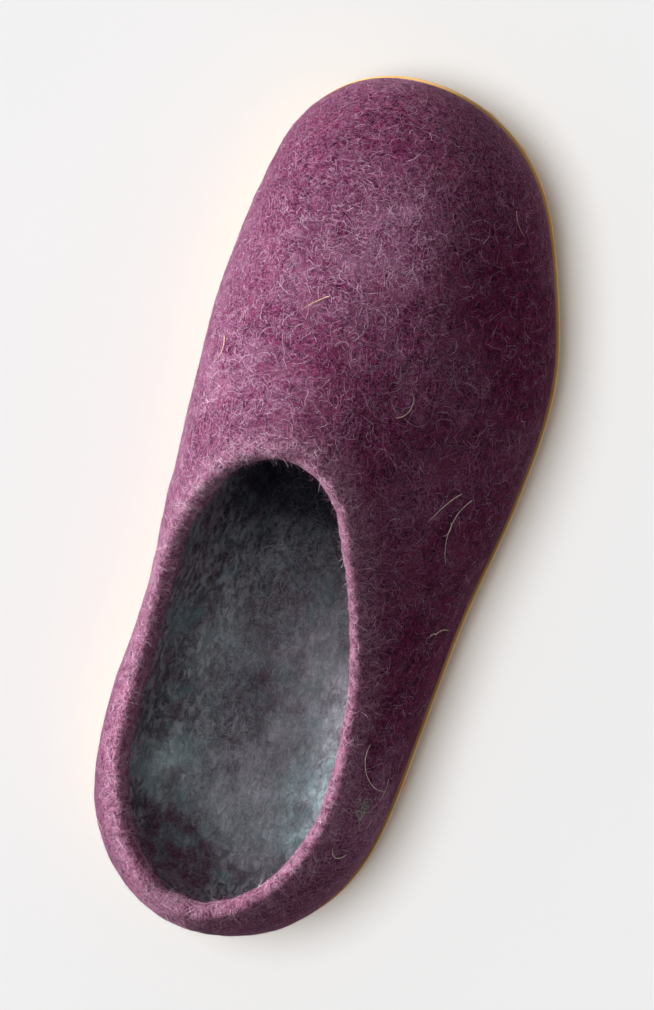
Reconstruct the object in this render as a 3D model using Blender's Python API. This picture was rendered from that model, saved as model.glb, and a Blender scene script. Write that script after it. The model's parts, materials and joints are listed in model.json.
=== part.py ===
"""Felt slipper for the right foot, standing empty on its rubber sole.

The model is in metres with +X to the toe, +Y to the inner side of the foot and +Z up. Four pieces
lie in each other like bowls: the outsole with its tread, the thin midsole, the felt upper and the
felt insole. Every piece is a loft of closed rings. Ring point number k lies at the angle
theta = 2 pi k / COLUMNS, where theta 0 is the heel and pi the toe, and its place along the foot is
the share s = (1 - cos theta) / 2 of the length.

The side of the sole is a quarter ellipse, drawn by the angle a: it lies flat at a = 0 and stands
upright at the rim at a = 90 degrees. The inner pieces follow the same ellipse at greater depths.
"""

import math

import bmesh
import bpy
import numpy as np
from mathutils import Matrix, Vector

# The last: lengths and widths
LENGTH = 0.262
BALL_WIDTH = 0.1064
TOE_SPRING = 0.008
TOE_SPRING_LENGTH = 0.079
HEEL_LIFT = 0.003
HEEL_LIFT_LENGTH = 0.026

# Rubber sole
RIM_HEIGHT = 0.0151
SOLE_SIDE_WIDTH = 0.022
BASE_THICKNESS = 0.003
RIM_THICKNESS = 0.0014
MIDSOLE_THICKNESS = 0.0012
MIDSOLE_EDGE_HEIGHT = 0.0016

# Tread
LUG_HEIGHT = 0.0015
LUG_ROOT = 0.0008
LUG_DRAFT = 0.0005
LUG_SMALLEST_WIDTH = 0.003
GROOVE_WIDTH = 0.0018
PLAIN_BAND_WIDTH = 0.008
RISING_PITCH = 0.0106
RISING_ANGLE = math.radians(37)
FALLING_PITCH = 0.0094
FALLING_ANGLE = math.radians(-45)
PLATE_GROOVE = 0.0009

# Felt
FELT_THICKNESS = 0.005
FELT_FLOOR_THICKNESS = 0.004
FELT_SETBACK = 0.0008
SIDE_BULGE = 0.0015
WAIST_OVERHANG = 0.0062
WAIST_OVERHANG_REACH = 0.052
TURNED_IN_WIDTH = 0.029

# Collar: places along the foot from the heel, heights above the floor
COLLAR_BACK = 0.0095
COLLAR_THROAT = 0.152
COLLAR_BACK_HEIGHT = 0.053
COLLAR_SIDE_HEIGHT = 0.049
COLLAR_THROAT_HEIGHT = 0.078
COLLAR_WIDTH = 0.065

# Toe box
TOE_WALL_HEIGHT = 0.027
TOE_ROUND_LENGTH = 0.048
TOE_ROUNDNESS = 2.2
SIDE_ROUND_SHARE = 1.7

# Insole
INSOLE_EDGE_ANGLE = math.radians(50)
INSOLE_TOP_BORDER = 0.006

# Gap between pieces that touch
CLEARANCE = 0.0003

# Fineness of the rings
COLUMNS = 60
CAP_CELLS = 4
WALL_ROWS = 10
LIP_ROWS = 3
FLAT_FACE_ANGLE = math.radians(0.6)

# Sole outline. along: share of LENGTH from the heel. half: half width over 2 sqrt(s (1 - s)),
# centre: middle of the width to the inner side; both are shares of BALL_WIDTH.
SOLE_OUTLINE = np.array(
    [
        (0.00, 0.745, 0.000),
        (0.10, 0.625, -0.004),
        (0.25, 0.489, -0.015),
        (0.42, 0.420, -0.042),
        (0.58, 0.463, -0.042),
        (0.72, 0.537, -0.016),
        (0.86, 0.597, 0.026),
        (1.00, 0.748, 0.070),
    ],
    dtype=[("along", float), ("half", float), ("centre", float)],
)

# Collar seen from above. along: share of the way from its back to the throat. half: half width
# over 2 sqrt(m (1 - m)), centre: middle to the inner side; both are shares of COLLAR_WIDTH.
COLLAR_OUTLINE = np.array(
    [
        (0.00, 0.600, 0.005),
        (0.20, 0.580, 0.005),
        (0.50, 0.505, 0.045),
        (0.80, 0.525, 0.095),
        (1.00, 0.600, 0.070),
    ],
    dtype=[("along", float), ("half", float), ("centre", float)],
)

# Collar seen from the side. along: as above. back, side, throat: how much of each of the three
# named heights the edge has there.
COLLAR_HEIGHTS = np.array(
    [
        (0.00, 1.00, 0.00, 0.00),
        (0.25, 0.30, 0.70, 0.00),
        (0.50, 0.00, 1.00, 0.00),
        (0.75, 0.00, 0.56, 0.44),
        (0.88, 0.00, 0.22, 0.78),
        (1.00, 0.00, 0.00, 1.00),
    ],
    dtype=[("along", float), ("back", float), ("side", float), ("throat", float)],
)

# Smooth plates in the tread of the waist: centre from the heel and to the inner side, size.
PLATES = {
    "large": (0.1315, -0.0095, 0.0260, 0.0358),
    "small": (0.1115, -0.0075, 0.0118, 0.0358),
    "size": (0.0985, -0.0072, 0.0115, 0.0102),
}

COLOURS = {
    "outsole": ((0.560, 0.330, 0.085), 0.55),
    "midsole": ((0.800, 0.560, 0.220), 0.60),
    "felt_upper": ((0.175, 0.050, 0.110), 0.95),
    "felt_insole": ((0.200, 0.245, 0.265), 0.95),
}

THETA = np.linspace(0.0, 2.0 * np.pi, COLUMNS, endpoint=False)
ALONG = (1.0 - np.cos(THETA)) / 2.0
SIDE = np.where(THETA <= np.pi, 1.0, -1.0)
ROUND = 2.0 * np.sqrt(ALONG * (1.0 - ALONG))


def smooth(x, table, column):
    """Read a column of a table at x: a cubic through its rows with averaged slopes."""
    xs, ys = table["along"], table[column]
    slopes = np.gradient(ys, xs)
    k = np.clip(np.searchsorted(xs, x) - 1, 0, len(xs) - 2)
    width = xs[k + 1] - xs[k]
    t = (x - xs[k]) / width
    return (
        (1 + 2 * t) * (1 - t) ** 2 * ys[k]
        + t * (1 - t) ** 2 * width * slopes[k]
        + t * t * (3 - 2 * t) * ys[k + 1]
        + t * t * (t - 1) * width * slopes[k + 1]
    )


def ease(x):
    """Smooth step from 0 to 1 as x goes from 0 to 1."""
    x = np.clip(x, 0.0, 1.0)
    return x * x * (3.0 - 2.0 * x)


def spring(x):
    """Rise of the sole off the floor at x: toe spring in front, a small lift at the heel."""
    toe = np.clip((x - LENGTH + TOE_SPRING_LENGTH) / TOE_SPRING_LENGTH, 0.0, 1.0)
    heel = np.clip((HEEL_LIFT_LENGTH - x) / HEEL_LIFT_LENGTH, 0.0, 1.0)
    return TOE_SPRING * toe**2 + HEEL_LIFT * heel**2


def outline():
    """Rim of the sole from above, as points and outward normals."""
    half = ROUND * smooth(ALONG, SOLE_OUTLINE, "half") * BALL_WIDTH
    centre = smooth(ALONG, SOLE_OUTLINE, "centre") * BALL_WIDTH
    points = np.stack([LENGTH * ALONG, centre + SIDE * half], axis=1)
    step = np.roll(points, -1, axis=0) - np.roll(points, 1, axis=0)
    step /= np.linalg.norm(step, axis=1, keepdims=True)
    return points, np.stack([-step[:, 1], step[:, 0]], axis=1)


RIM, RIM_NORMAL = outline()


def side_point(angle, depth):
    """Inset from the rim and height of the sole's side ellipse, depth below its outer face."""
    rise = RIM_HEIGHT - LUG_HEIGHT
    inward = np.array([rise * math.sin(angle), SOLE_SIDE_WIDTH * math.cos(angle)])
    inward /= np.linalg.norm(inward)
    inset = SOLE_SIDE_WIDTH * (1.0 - math.sin(angle)) + depth * inward[0]
    height = LUG_HEIGHT + rise * (1.0 - math.cos(angle)) + depth * inward[1]
    return inset, height


def ring(inset, height):
    """Ring at an inset from the rim, its height counted from the sprung floor."""
    xy = RIM - RIM_NORMAL * inset
    return np.column_stack([xy, height + spring(xy[:, 0])])


def base_depth(angle):
    """Thickness of the outsole: the rim's at the top, the base's underfoot."""
    return RIM_THICKNESS + (BASE_THICKNESS - RIM_THICKNESS) * math.cos(angle) ** 2


def midsole_depth(angle):
    return base_depth(angle) + CLEARANCE


def felt_depth(angle):
    return midsole_depth(angle) + MIDSOLE_THICKNESS + CLEARANCE


def floor_depth(angle):
    """Inner face of the felt, from its floor up to the wall."""
    extra = FELT_FLOOR_THICKNESS + (FELT_THICKNESS - FELT_FLOOR_THICKNESS) * math.sin(angle) ** 2
    return felt_depth(angle) + extra


def bowl(depth, angles):
    """Rings of one face of a bowl; depth is a function of the angle."""
    return [ring(*side_point(a, depth(a))) for a in angles]


def degrees(*values):
    return [math.radians(v) for v in values]


def cap(rings_end, level):
    """Points across a ring, from its inner to its outer side, at a height above the floor."""
    rows = []
    for k in range(1, COLUMNS // 2):
        left, right = rings_end[k], rings_end[COLUMNS - k]
        share = np.linspace(0.0, 1.0, CAP_CELLS + 1)[1:-1, None]
        row = left * (1.0 - share) + right * share
        row[:, 2] = level + spring(row[:, 0])
        rows.append(row)
    return np.concatenate(rows)


def cap_faces(first, start):
    """Faces that close the ring starting at vertex first with the cap points from start on."""
    rows = []
    for k in range(COLUMNS // 2 + 1):
        if k in (0, COLUMNS // 2):
            rows.append([first + k] * (CAP_CELLS + 1))
            continue
        inner = start + (k - 1) * (CAP_CELLS - 1)
        across = range(inner, inner + CAP_CELLS - 1)
        rows.append([first + k, *across, first + COLUMNS - k])
    faces = []
    for near, far in zip(rows, rows[1:]):
        for c in range(CAP_CELLS):
            corners = [near[c], near[c + 1], far[c + 1], far[c]]
            faces.append(list(dict.fromkeys(corners)))
    return faces


def add_object(name, mesh, collection):
    colour, roughness = COLOURS[name]
    material = bpy.data.materials.new(name)
    material.use_nodes = True
    shader = material.node_tree.nodes["Principled BSDF"]
    shader.inputs["Base Color"].default_value = (*colour, 1.0)
    shader.inputs["Roughness"].default_value = roughness
    mesh.materials.append(material)
    obj = bpy.data.objects.new(name, mesh)
    collection.objects.link(obj)
    return obj


def loft(name, rings, levels=None):
    """Closed mesh over a row of rings, capped at both ends at two levels or joined end to end."""
    count = len(rings)
    points = np.concatenate(rings)
    faces = []
    for r in range(count if levels is None else count - 1):
        low, high = r * COLUMNS, (r + 1) % count * COLUMNS
        for k in range(COLUMNS):
            after = (k + 1) % COLUMNS
            faces.append([low + k, low + after, high + after, high + k])
    if levels is not None:
        ends = [cap(rings[0], levels[0]), cap(rings[-1], levels[1])]
        faces += cap_faces(0, len(points))
        faces += cap_faces((count - 1) * COLUMNS, len(points) + len(ends[0]))
        points = np.concatenate([points, *ends])
    mesh = bpy.data.meshes.new(name)
    mesh.from_pydata(points.tolist(), [], faces)
    edit = bmesh.new()
    edit.from_mesh(mesh)
    bmesh.ops.recalc_face_normals(edit, faces=edit.faces)
    edit.to_mesh(mesh)
    edit.free()
    mesh.shade_smooth()
    mesh.set_sharp_from_angle(angle=math.radians(40))
    return mesh


def outsole_mesh():
    """Cup of the outsole, without its tread."""
    outside = bowl(lambda a: 0.0, degrees(0, 15, 32, 50, 70))
    top = RIM_HEIGHT - MIDSOLE_EDGE_HEIGHT - CLEARANCE
    outside.append(ring(0.0, top))
    inside = [ring(RIM_THICKNESS, top)]
    inside += bowl(base_depth, degrees(66, 45, 22, 0))
    return loft("outsole", outside + inside, (LUG_HEIGHT, LUG_HEIGHT + BASE_THICKNESS))


def midsole_mesh():
    """Thin rubber bowl whose edge turns out over the outsole's rim and shows as a strip."""
    low, high = midsole_depth(0.0), midsole_depth(0.0) + MIDSOLE_THICKNESS
    under = RIM_HEIGHT - MIDSOLE_EDGE_HEIGHT
    rings = bowl(midsole_depth, degrees(0, 22, 45, 66))
    rings.append(ring(midsole_depth(math.pi / 2), under))
    rings.append(ring(0.0, under))
    rings.append(ring(0.0, RIM_HEIGHT))
    rings.append(ring(midsole_depth(math.pi / 2) + MIDSOLE_THICKNESS, RIM_HEIGHT))
    rings += bowl(lambda a: midsole_depth(a) + MIDSOLE_THICKNESS, degrees(66, 45, 22, 0))
    return loft("midsole", rings, (LUG_HEIGHT + low, LUG_HEIGHT + high))


def tread_height(points):
    """Height of the block tops at points seen from above: flat underfoot, rising with the side."""
    fine = np.concatenate([RIM + (np.roll(RIM, -1, axis=0) - RIM) * t for t in (0, 0.25, 0.5, 0.75)])
    gap = np.linalg.norm(points[:, None, :] - fine[None, :, :], axis=2).min(axis=1)
    lean = np.clip(1.0 - gap / SOLE_SIDE_WIDTH, 0.0, 1.0)
    rise = (RIM_HEIGHT - LUG_HEIGHT) * (1.0 - np.sqrt(1.0 - lean**2))
    return rise + spring(points[:, 0])


def cut_strip(edit, origin, along, width):
    """Cut a groove of this width along a line and drop the faces in it."""
    across = np.array([-along[1], along[0], 0.0])
    for side in (-1.0, 1.0):
        bmesh.ops.bisect_plane(
            edit,
            geom=edit.verts[:] + edit.edges[:] + edit.faces[:],
            dist=1e-7,
            plane_co=origin + across * side * width / 2.0,
            plane_no=across,
        )
    lost = []
    for face in edit.faces:
        away = np.array(face.calc_center_median()) - origin
        if abs(away @ across) < width / 2.0:
            lost.append(face)
    bmesh.ops.delete(edit, geom=lost, context="FACES")


def cut_plate(edit, plate):
    """Clear the room of a plate, with a groove around it."""
    x, y, long, wide = plate
    low = np.array([x - long / 2.0 - PLATE_GROOVE, y - wide / 2.0 - PLATE_GROOVE])
    high = np.array([x + long / 2.0 + PLATE_GROOVE, y + wide / 2.0 + PLATE_GROOVE])
    for corner, axis in ((low, 0), (high, 0), (low, 1), (high, 1)):
        near = []
        for face in edit.faces:
            spots = np.array([v.co for v in face.verts])[:, :2]
            if (spots.max(axis=0) > low).all() and (spots.min(axis=0) < high).all():
                near.append(face)
        parts = set(near)
        for face in near:
            parts.update(face.edges)
            parts.update(face.verts)
        bmesh.ops.bisect_plane(
            edit,
            geom=list(parts),
            dist=1e-7,
            plane_co=(corner[0], corner[1], 0.0),
            plane_no=(1.0 - axis, axis, 0.0),
        )
    lost = []
    for face in edit.faces:
        centre = np.array(face.calc_center_median())[:2]
        if (centre > low).all() and (centre < high).all():
            lost.append(face)
    bmesh.ops.delete(edit, geom=lost, context="FACES")


def tread_mesh():
    """Diamond blocks and plates: the tread's area cut by two families of grooves, then raised."""
    edit = bmesh.new()
    border = RIM - RIM_NORMAL * PLAIN_BAND_WIDTH
    edit.faces.new([edit.verts.new((x, y, 0.0)) for x, y in border])
    middle = np.array([LENGTH / 2.0, 0.0, 0.0])
    for pitch, angle in ((RISING_PITCH, RISING_ANGLE), (FALLING_PITCH, FALLING_ANGLE)):
        along = np.array([math.cos(angle), math.sin(angle), 0.0])
        across = np.array([-along[1], along[0], 0.0])
        reach = math.ceil((LENGTH / 2.0 * abs(across[0]) + BALL_WIDTH / 2.0) / pitch)
        for k in range(-reach, reach + 1):
            cut_strip(edit, middle + across * k * pitch, along, GROOVE_WIDTH)
    for plate in PLATES.values():
        cut_plate(edit, plate)
    slivers = [f for f in edit.faces if f.calc_area() < LUG_SMALLEST_WIDTH**2]
    bmesh.ops.delete(edit, geom=slivers, context="FACES")
    for x, y, long, wide in PLATES.values():
        corners = [(-1, -1), (1, -1), (1, 1), (-1, 1)]
        edit.faces.new([edit.verts.new((x + i * long / 2, y + j * wide / 2, 0.0)) for i, j in corners])
    raised = bmesh.ops.extrude_face_region(edit, geom=edit.faces[:], use_keep_orig=True)["geom"]
    tops = [g for g in raised if isinstance(g, bmesh.types.BMVert)]
    top_faces = {g for g in raised if isinstance(g, bmesh.types.BMFace)}
    kept = set(tops)
    roots = [v for v in edit.verts if v not in kept]
    draft = {}
    for vert in tops:
        pull = Vector()
        for face in vert.link_faces:
            if face in top_faces:
                pull += (face.calc_center_median() - vert.co).normalized()
        draft[vert] = pull.normalized() * LUG_DRAFT
    for vert, step in draft.items():
        vert.co += step
    for verts, offset in ((tops, 0.0), (roots, LUG_HEIGHT + LUG_ROOT)):
        spots = np.array([v.co for v in verts])
        heights = tread_height(spots[:, :2]) + offset
        for vert, height in zip(verts, heights):
            vert.co.z = height
    bmesh.ops.recalc_face_normals(edit, faces=edit.faces)
    mesh = bpy.data.meshes.new("tread")
    edit.to_mesh(mesh)
    edit.free()
    return mesh


def collar():
    """End of the felt's outer face at the collar, one point for each ring point."""
    reach = COLLAR_THROAT - COLLAR_BACK
    share = 1.0 - (1.0 - ALONG) ** (LENGTH / reach)
    half = smooth(share, COLLAR_OUTLINE, "half") * COLLAR_WIDTH
    half *= 2.0 * np.sqrt(share * (1.0 - share))
    centre = smooth(share, COLLAR_OUTLINE, "centre") * COLLAR_WIDTH
    height = (
        smooth(share, COLLAR_HEIGHTS, "back") * COLLAR_BACK_HEIGHT
        + smooth(share, COLLAR_HEIGHTS, "side") * COLLAR_SIDE_HEIGHT
        + smooth(share, COLLAR_HEIGHTS, "throat") * COLLAR_THROAT_HEIGHT
    )
    height -= FELT_THICKNESS / 2.0
    return np.column_stack([COLLAR_BACK + reach * share, centre + SIDE * half, height])


def round_over(share):
    """Rise of a superellipse from 0 to 1 as share goes from 0 to 1, upright at its start."""
    share = np.clip(share, 0.0, 1.0)
    return (1.0 - (1.0 - share) ** TOE_ROUNDNESS) ** (1.0 / TOE_ROUNDNESS)


def felt_wall():
    """Outer face of the felt above the rim: rings from the rim up to the collar.

    Each profile runs along a straight ray, seen from above, from the rim to the collar. Its height
    is a superellipse: steep along the sides and the heel, a full round toe in front, from where it
    climbs on to the throat.
    """
    foot = RIM - RIM_NORMAL * FELT_SETBACK
    foot_height = RIM_HEIGHT + CLEARANCE + spring(foot[:, 0])
    end = collar()
    ray = end[:, :2] - foot
    reach = np.linalg.norm(ray, axis=1)
    front = ease((ALONG - 0.45) / 0.45)
    round_length = (1.0 - front) * SIDE_ROUND_SHARE * reach + front * TOE_ROUND_LENGTH
    climb = front * (end[:, 2] - foot_height - TOE_WALL_HEIGHT)
    full = (end[:, 2] - foot_height - climb) / round_over(reach / round_length)
    overhang = np.where(SIDE > 0, WAIST_OVERHANG, 0.0)
    overhang = overhang * np.exp(-(((LENGTH * ALONG - 0.42 * LENGTH) / WAIST_OVERHANG_REACH) ** 2))
    rings = []
    for t in np.linspace(0.0, 1.0, WALL_ROWS):
        run = 1.0 - math.cos(t * math.pi / 2.0)
        height = foot_height + full * round_over(run * reach / round_length) + climb * run
        share = np.clip((height - foot_height) / COLLAR_SIDE_HEIGHT, 0.0, 1.0)
        out = SIDE_BULGE * 4.0 * share * (1.0 - share) + overhang * ease(share * 1.4) * (1.0 - t)
        xy = foot + ray * run + RIM_NORMAL * out[:, None]
        rings.append(np.column_stack([xy, height]))
    return np.array(rings)


def face_normals(grid):
    """Outward normals of a grid of rings."""
    up = np.gradient(grid, axis=0)
    around = np.roll(grid, -1, axis=1) - np.roll(grid, 1, axis=1)
    normals = np.cross(up, around)
    return normals / np.linalg.norm(normals, axis=2, keepdims=True)


def felt_upper_mesh():
    """Felt shell, open at the collar and underneath, where its edge is turned in all round."""
    wall = felt_wall()
    normals = face_normals(wall)
    inner_wall = wall - normals * FELT_THICKNESS
    rings = [ring(TURNED_IN_WIDTH, LUG_HEIGHT + felt_depth(0.0))]
    rings += bowl(felt_depth, degrees(0, 22, 45, 66))
    rings.append(ring(felt_depth(math.pi / 2), RIM_HEIGHT + CLEARANCE))
    rings += list(wall)
    middle = (wall[-1] + inner_wall[-1]) / 2.0
    rise = wall[-1] - wall[-2]
    rise -= normals[-1] * np.sum(rise * normals[-1], axis=1, keepdims=True)
    rise /= np.linalg.norm(rise, axis=1, keepdims=True)
    for k in range(1, LIP_ROWS + 1):
        turn = math.pi * k / (LIP_ROWS + 1)
        rings.append(middle + (normals[-1] * math.cos(turn) + rise * math.sin(turn)) * FELT_THICKNESS / 2.0)
    rings += list(inner_wall[:1:-1])
    rings += bowl(floor_depth, degrees(66, 45, 22, 0))
    rings.append(ring(TURNED_IN_WIDTH, LUG_HEIGHT + floor_depth(0.0)))
    return loft("felt_upper", rings)


def insole_depth(angle):
    return floor_depth(angle) + CLEARANCE


def felt_insole_mesh():
    """Footbed that covers the felt's turned-in edge and fills the opening inside that edge."""
    low = LUG_HEIGHT + felt_depth(0.0)
    inset, high = side_point(INSOLE_EDGE_ANGLE, insole_depth(INSOLE_EDGE_ANGLE))
    rings = [ring(TURNED_IN_WIDTH + CLEARANCE, low)]
    rings.append(ring(TURNED_IN_WIDTH + CLEARANCE, LUG_HEIGHT + insole_depth(0.0)))
    rings += bowl(insole_depth, [INSOLE_EDGE_ANGLE * share for share in (0.0, 0.5, 1.0)])
    rings.append(ring(inset + INSOLE_TOP_BORDER, high))
    return loft("felt_insole", rings, (low, high))


def new_collection(name):
    collection = bpy.data.collections.new(name)
    bpy.context.scene.collection.children.link(collection)
    return collection


def main():
    for old in list(bpy.data.objects):
        bpy.data.objects.remove(old, do_unlink=True)
    slipper = new_collection("felt_slipper")
    cutters = new_collection("cutters")

    outsole = add_object("outsole", outsole_mesh(), slipper)
    tread = bpy.data.objects.new("tread", tread_mesh())
    cutters.objects.link(tread)
    tread.hide_render = True
    tread.display_type = "WIRE"
    union = outsole.modifiers.new("tread", "BOOLEAN")
    union.operation = "UNION"
    union.solver = "EXACT"
    union.object = tread
    flatten = outsole.modifiers.new("merge_flat_faces", "DECIMATE")
    flatten.decimate_type = "DISSOLVE"
    flatten.angle_limit = FLAT_FACE_ANGLE
    pieces = [
        outsole,
        add_object("midsole", midsole_mesh(), slipper),
        add_object("felt_upper", felt_upper_mesh(), slipper),
        add_object("felt_insole", felt_insole_mesh(), slipper),
    ]

    # The origin is the middle of the slipper's footprint, on the floor
    corners = np.array([v.co for piece in pieces for v in piece.data.vertices])
    low, high = corners.min(axis=0), corners.max(axis=0)
    shift = Matrix.Translation((-(low[0] + high[0]) / 2.0, -(low[1] + high[1]) / 2.0, 0.0))
    for piece in [*pieces, tread]:
        piece.data.transform(shift)


main()
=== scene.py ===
"""Looks of the felt slipper: felt with its hairs, footbed, rubber sole with tread, floor and light.

Every shape is a surface of two parameters: theta runs round the slipper, from the heel (0) over the
inner side to the toe (pi) and back, and a second parameter runs along the profile of each piece. All
sizes are in metres, with +X to the toe, +Y to the inner side of the foot and +Z up.
"""

import json
import math

import bmesh
import bpy
import numpy as np
from mathutils import Matrix, Vector

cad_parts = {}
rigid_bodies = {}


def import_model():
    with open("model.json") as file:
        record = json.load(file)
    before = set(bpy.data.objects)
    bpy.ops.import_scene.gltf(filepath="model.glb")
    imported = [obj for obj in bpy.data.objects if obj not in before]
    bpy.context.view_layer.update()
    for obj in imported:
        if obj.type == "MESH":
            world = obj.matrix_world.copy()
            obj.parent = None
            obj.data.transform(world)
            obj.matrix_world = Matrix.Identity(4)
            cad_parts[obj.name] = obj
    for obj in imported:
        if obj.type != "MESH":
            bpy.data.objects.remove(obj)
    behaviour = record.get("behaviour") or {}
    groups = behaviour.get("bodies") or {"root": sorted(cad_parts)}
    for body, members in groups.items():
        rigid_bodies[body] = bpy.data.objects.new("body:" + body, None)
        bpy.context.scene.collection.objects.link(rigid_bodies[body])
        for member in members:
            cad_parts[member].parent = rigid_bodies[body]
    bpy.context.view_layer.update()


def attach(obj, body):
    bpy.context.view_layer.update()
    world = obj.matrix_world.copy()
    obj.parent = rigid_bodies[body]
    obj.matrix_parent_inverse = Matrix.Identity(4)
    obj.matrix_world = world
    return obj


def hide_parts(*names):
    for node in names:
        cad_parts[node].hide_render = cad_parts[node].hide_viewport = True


bl_info = {
    "name": "Felt slipper",
    "version": (1, 0, 0),
    "blender": (4, 5, 0),
    "location": "3D View > Sidebar > Slipper",
    "description": "Dresses the felt slipper: felt, fibres, footbed, rubber sole, floor and light",
    "category": "Object",
}

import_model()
BODY = "root"


def table(columns, *rows):
    """Rows of numbers with named columns."""
    return np.array(list(rows), dtype=[(column, float) for column in columns.split()])


# Outline of the sole from above. along: share of the length from the heel. half: half width over
# 2 sqrt(s (1 - s)), centre: middle of the width to the inner side, as shares of the ball width.
SOLE_OUTLINE = table(
    "along half centre",
    (0.00, 0.745, 0.000), (0.10, 0.625, -0.004), (0.25, 0.489, -0.015), (0.42, 0.420, -0.042),
    (0.58, 0.463, -0.042), (0.72, 0.537, -0.016), (0.86, 0.597, 0.026), (1.00, 0.748, 0.070),
)

# Outline of the collar from above, as shares of its length and width.
COLLAR_OUTLINE = table(
    "along half centre",
    (0.00, 0.600, 0.005), (0.20, 0.580, 0.005), (0.50, 0.505, 0.045), (0.80, 0.525, 0.095),
    (1.00, 0.600, 0.070),
)

# Height of the collar: how much of each of the three named heights it has along its length.
COLLAR_HEIGHTS = table(
    "along back side throat",
    (0.00, 1.00, 0.00, 0.00), (0.25, 0.30, 0.70, 0.00), (0.50, 0.00, 1.00, 0.00),
    (0.75, 0.00, 0.56, 0.44), (0.88, 0.00, 0.22, 0.78), (1.00, 0.00, 0.00, 1.00),
)

# Plates in the waist of the tread: centre from the heel and to the inner side, length, width.
PLATES = (
    (0.1315, -0.0095, 0.0260, 0.0358),
    (0.1115, -0.0075, 0.0118, 0.0358),
    (0.0985, -0.0072, 0.0115, 0.0102),
)

# Soft troughs (depth above 0) and ridges (below 0) of the felt: middle from the heel and to the inner
# side, height, direction in degrees from +X, half length, half width, depth.
CREASES = table(
    "along inner height turn length width depth",
    (0.176, 0.012, 0.070, 78.0, 0.022, 0.0070, 0.0008),
    (0.196, -0.014, 0.064, 112.0, 0.018, 0.0060, 0.0006),
    (0.160, -0.034, 0.058, 40.0, 0.020, 0.0065, 0.0007),
    (0.120, -0.047, 0.034, 8.0, 0.024, 0.0060, 0.0009),
    (0.096, 0.045, 0.036, -6.0, 0.022, 0.0060, 0.0007),
    (0.232, 0.020, 0.048, 70.0, 0.014, 0.0080, -0.0006),
    (0.214, -0.036, 0.044, 20.0, 0.016, 0.0060, -0.0005),
    (0.020, 0.010, 0.034, 90.0, 0.018, 0.0060, 0.0006),
)

# Patches of other wool: name, seed of the ragged edge, and rows of middle as above, reach, strength.
WOOLS = {
    # Pale lilac wool; the rows low on the inner side and the two at the outer heel are painted highlight
    # where light falls.
    "frost": (51, (
        (0.2206, 0.0045, 0.06, 0.016, 0.55), (0.214, -0.004, 0.061, 0.013, 0.55),
        (0.1957, 0.0069, 0.0655, 0.013, 0.55), (0.1668, 0.0293, 0.0646, 0.012, 0.75),
        (0.1672, 0.009, 0.0717, 0.011, 0.45), (0.2008, 0.0265, 0.0605, 0.016, 0.4),
        (0.153, -0.03, 0.06, 0.012, 0.35), (0.06, -0.036, 0.05, 0.016, 0.3),
        (0.15, 0.048, 0.04, 0.03, 0.6), (0.19, 0.047, 0.035, 0.024, 0.4),
        (0.108, 0.046, 0.04, 0.024, 0.6), (0.06, 0.045, 0.035, 0.028, 0.5),
        (0.186, -0.026, 0.06, 0.016, 0.45), (0.056, -0.043, 0.036, 0.014, 0.75),
        (0.076, -0.044, 0.042, 0.01, 0.45),
    )),
    # Deeper red wool, mostly along the shaded outer side: partly the felt's own colour, partly painted
    # shade.
    "wine": (52, (
        (0.1803, 0.0029, 0.0689, 0.013, 0.55), (0.2203, -0.036, 0.0398, 0.02, 0.8),
        (0.1963, -0.0351, 0.0496, 0.016, 0.6), (0.2492, 0.0096, 0.0459, 0.014, 0.4),
        (0.1619, -0.0261, 0.0631, 0.016, 0.6), (0.111, -0.0462, 0.034, 0.022, 0.7),
        (0.07, -0.045, 0.03, 0.02, 0.8), (0.1, 0.05, 0.03, 0.02, 0.3), (0.145, -0.05, 0.03, 0.024, 0.9),
        (0.19, -0.052, 0.03, 0.022, 0.9), (0.09, -0.044, 0.032, 0.022, 0.8),
    )),
    "teal": (53, (
        (0.041, -0.021, 0.018, 0.012, 1.3), (0.05, -0.026, 0.024, 0.01, 1.0),
        (0.042, 0.024, 0.0145, 0.009, 0.8), (0.081, 0.018, 0.0145, 0.012, 0.45),
        (0.03, 0.004, 0.0145, 0.009, 0.45), (0.066, -0.016, 0.0145, 0.01, 0.35),
    )),
    "mauve": (54, (
        (0.013, 0.01, 0.016, 0.008, 2.4), (0.02, 0.016, 0.0145, 0.008, 1.8),
        (0.072, 0.006, 0.0145, 0.01, 0.75), (0.109, -0.001, 0.0145, 0.012, 0.45),
        (0.058, -0.01, 0.0145, 0.008, 0.45), (0.092, 0.01, 0.0145, 0.011, 0.6),
    )),
    "ash": (55, (
        (0.043, -0.005, 0.0145, 0.015, 0.9), (0.086, -0.01, 0.0145, 0.014, 0.8),
        (0.07, -0.022, 0.02, 0.017, 1.1), (0.11, -0.016, 0.022, 0.014, 0.5),
        (0.024, -0.01, 0.018, 0.01, 0.6),
    )),
    # Painted shade: near-black patches deep in the throat under the vamp, where little light reaches.
    "night": (56, (
        (0.146, 0.0, 0.0145, 0.02, 1.3), (0.15, 0.012, 0.03, 0.02, 1.2),
        (0.15, -0.018, 0.03, 0.02, 1.2), (0.165, 0.0, 0.03, 0.03, 1.4),
        (0.19, 0.0, 0.03, 0.035, 1.4), (0.128, 0.02, 0.022, 0.012, 0.6),
    )),
}

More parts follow.
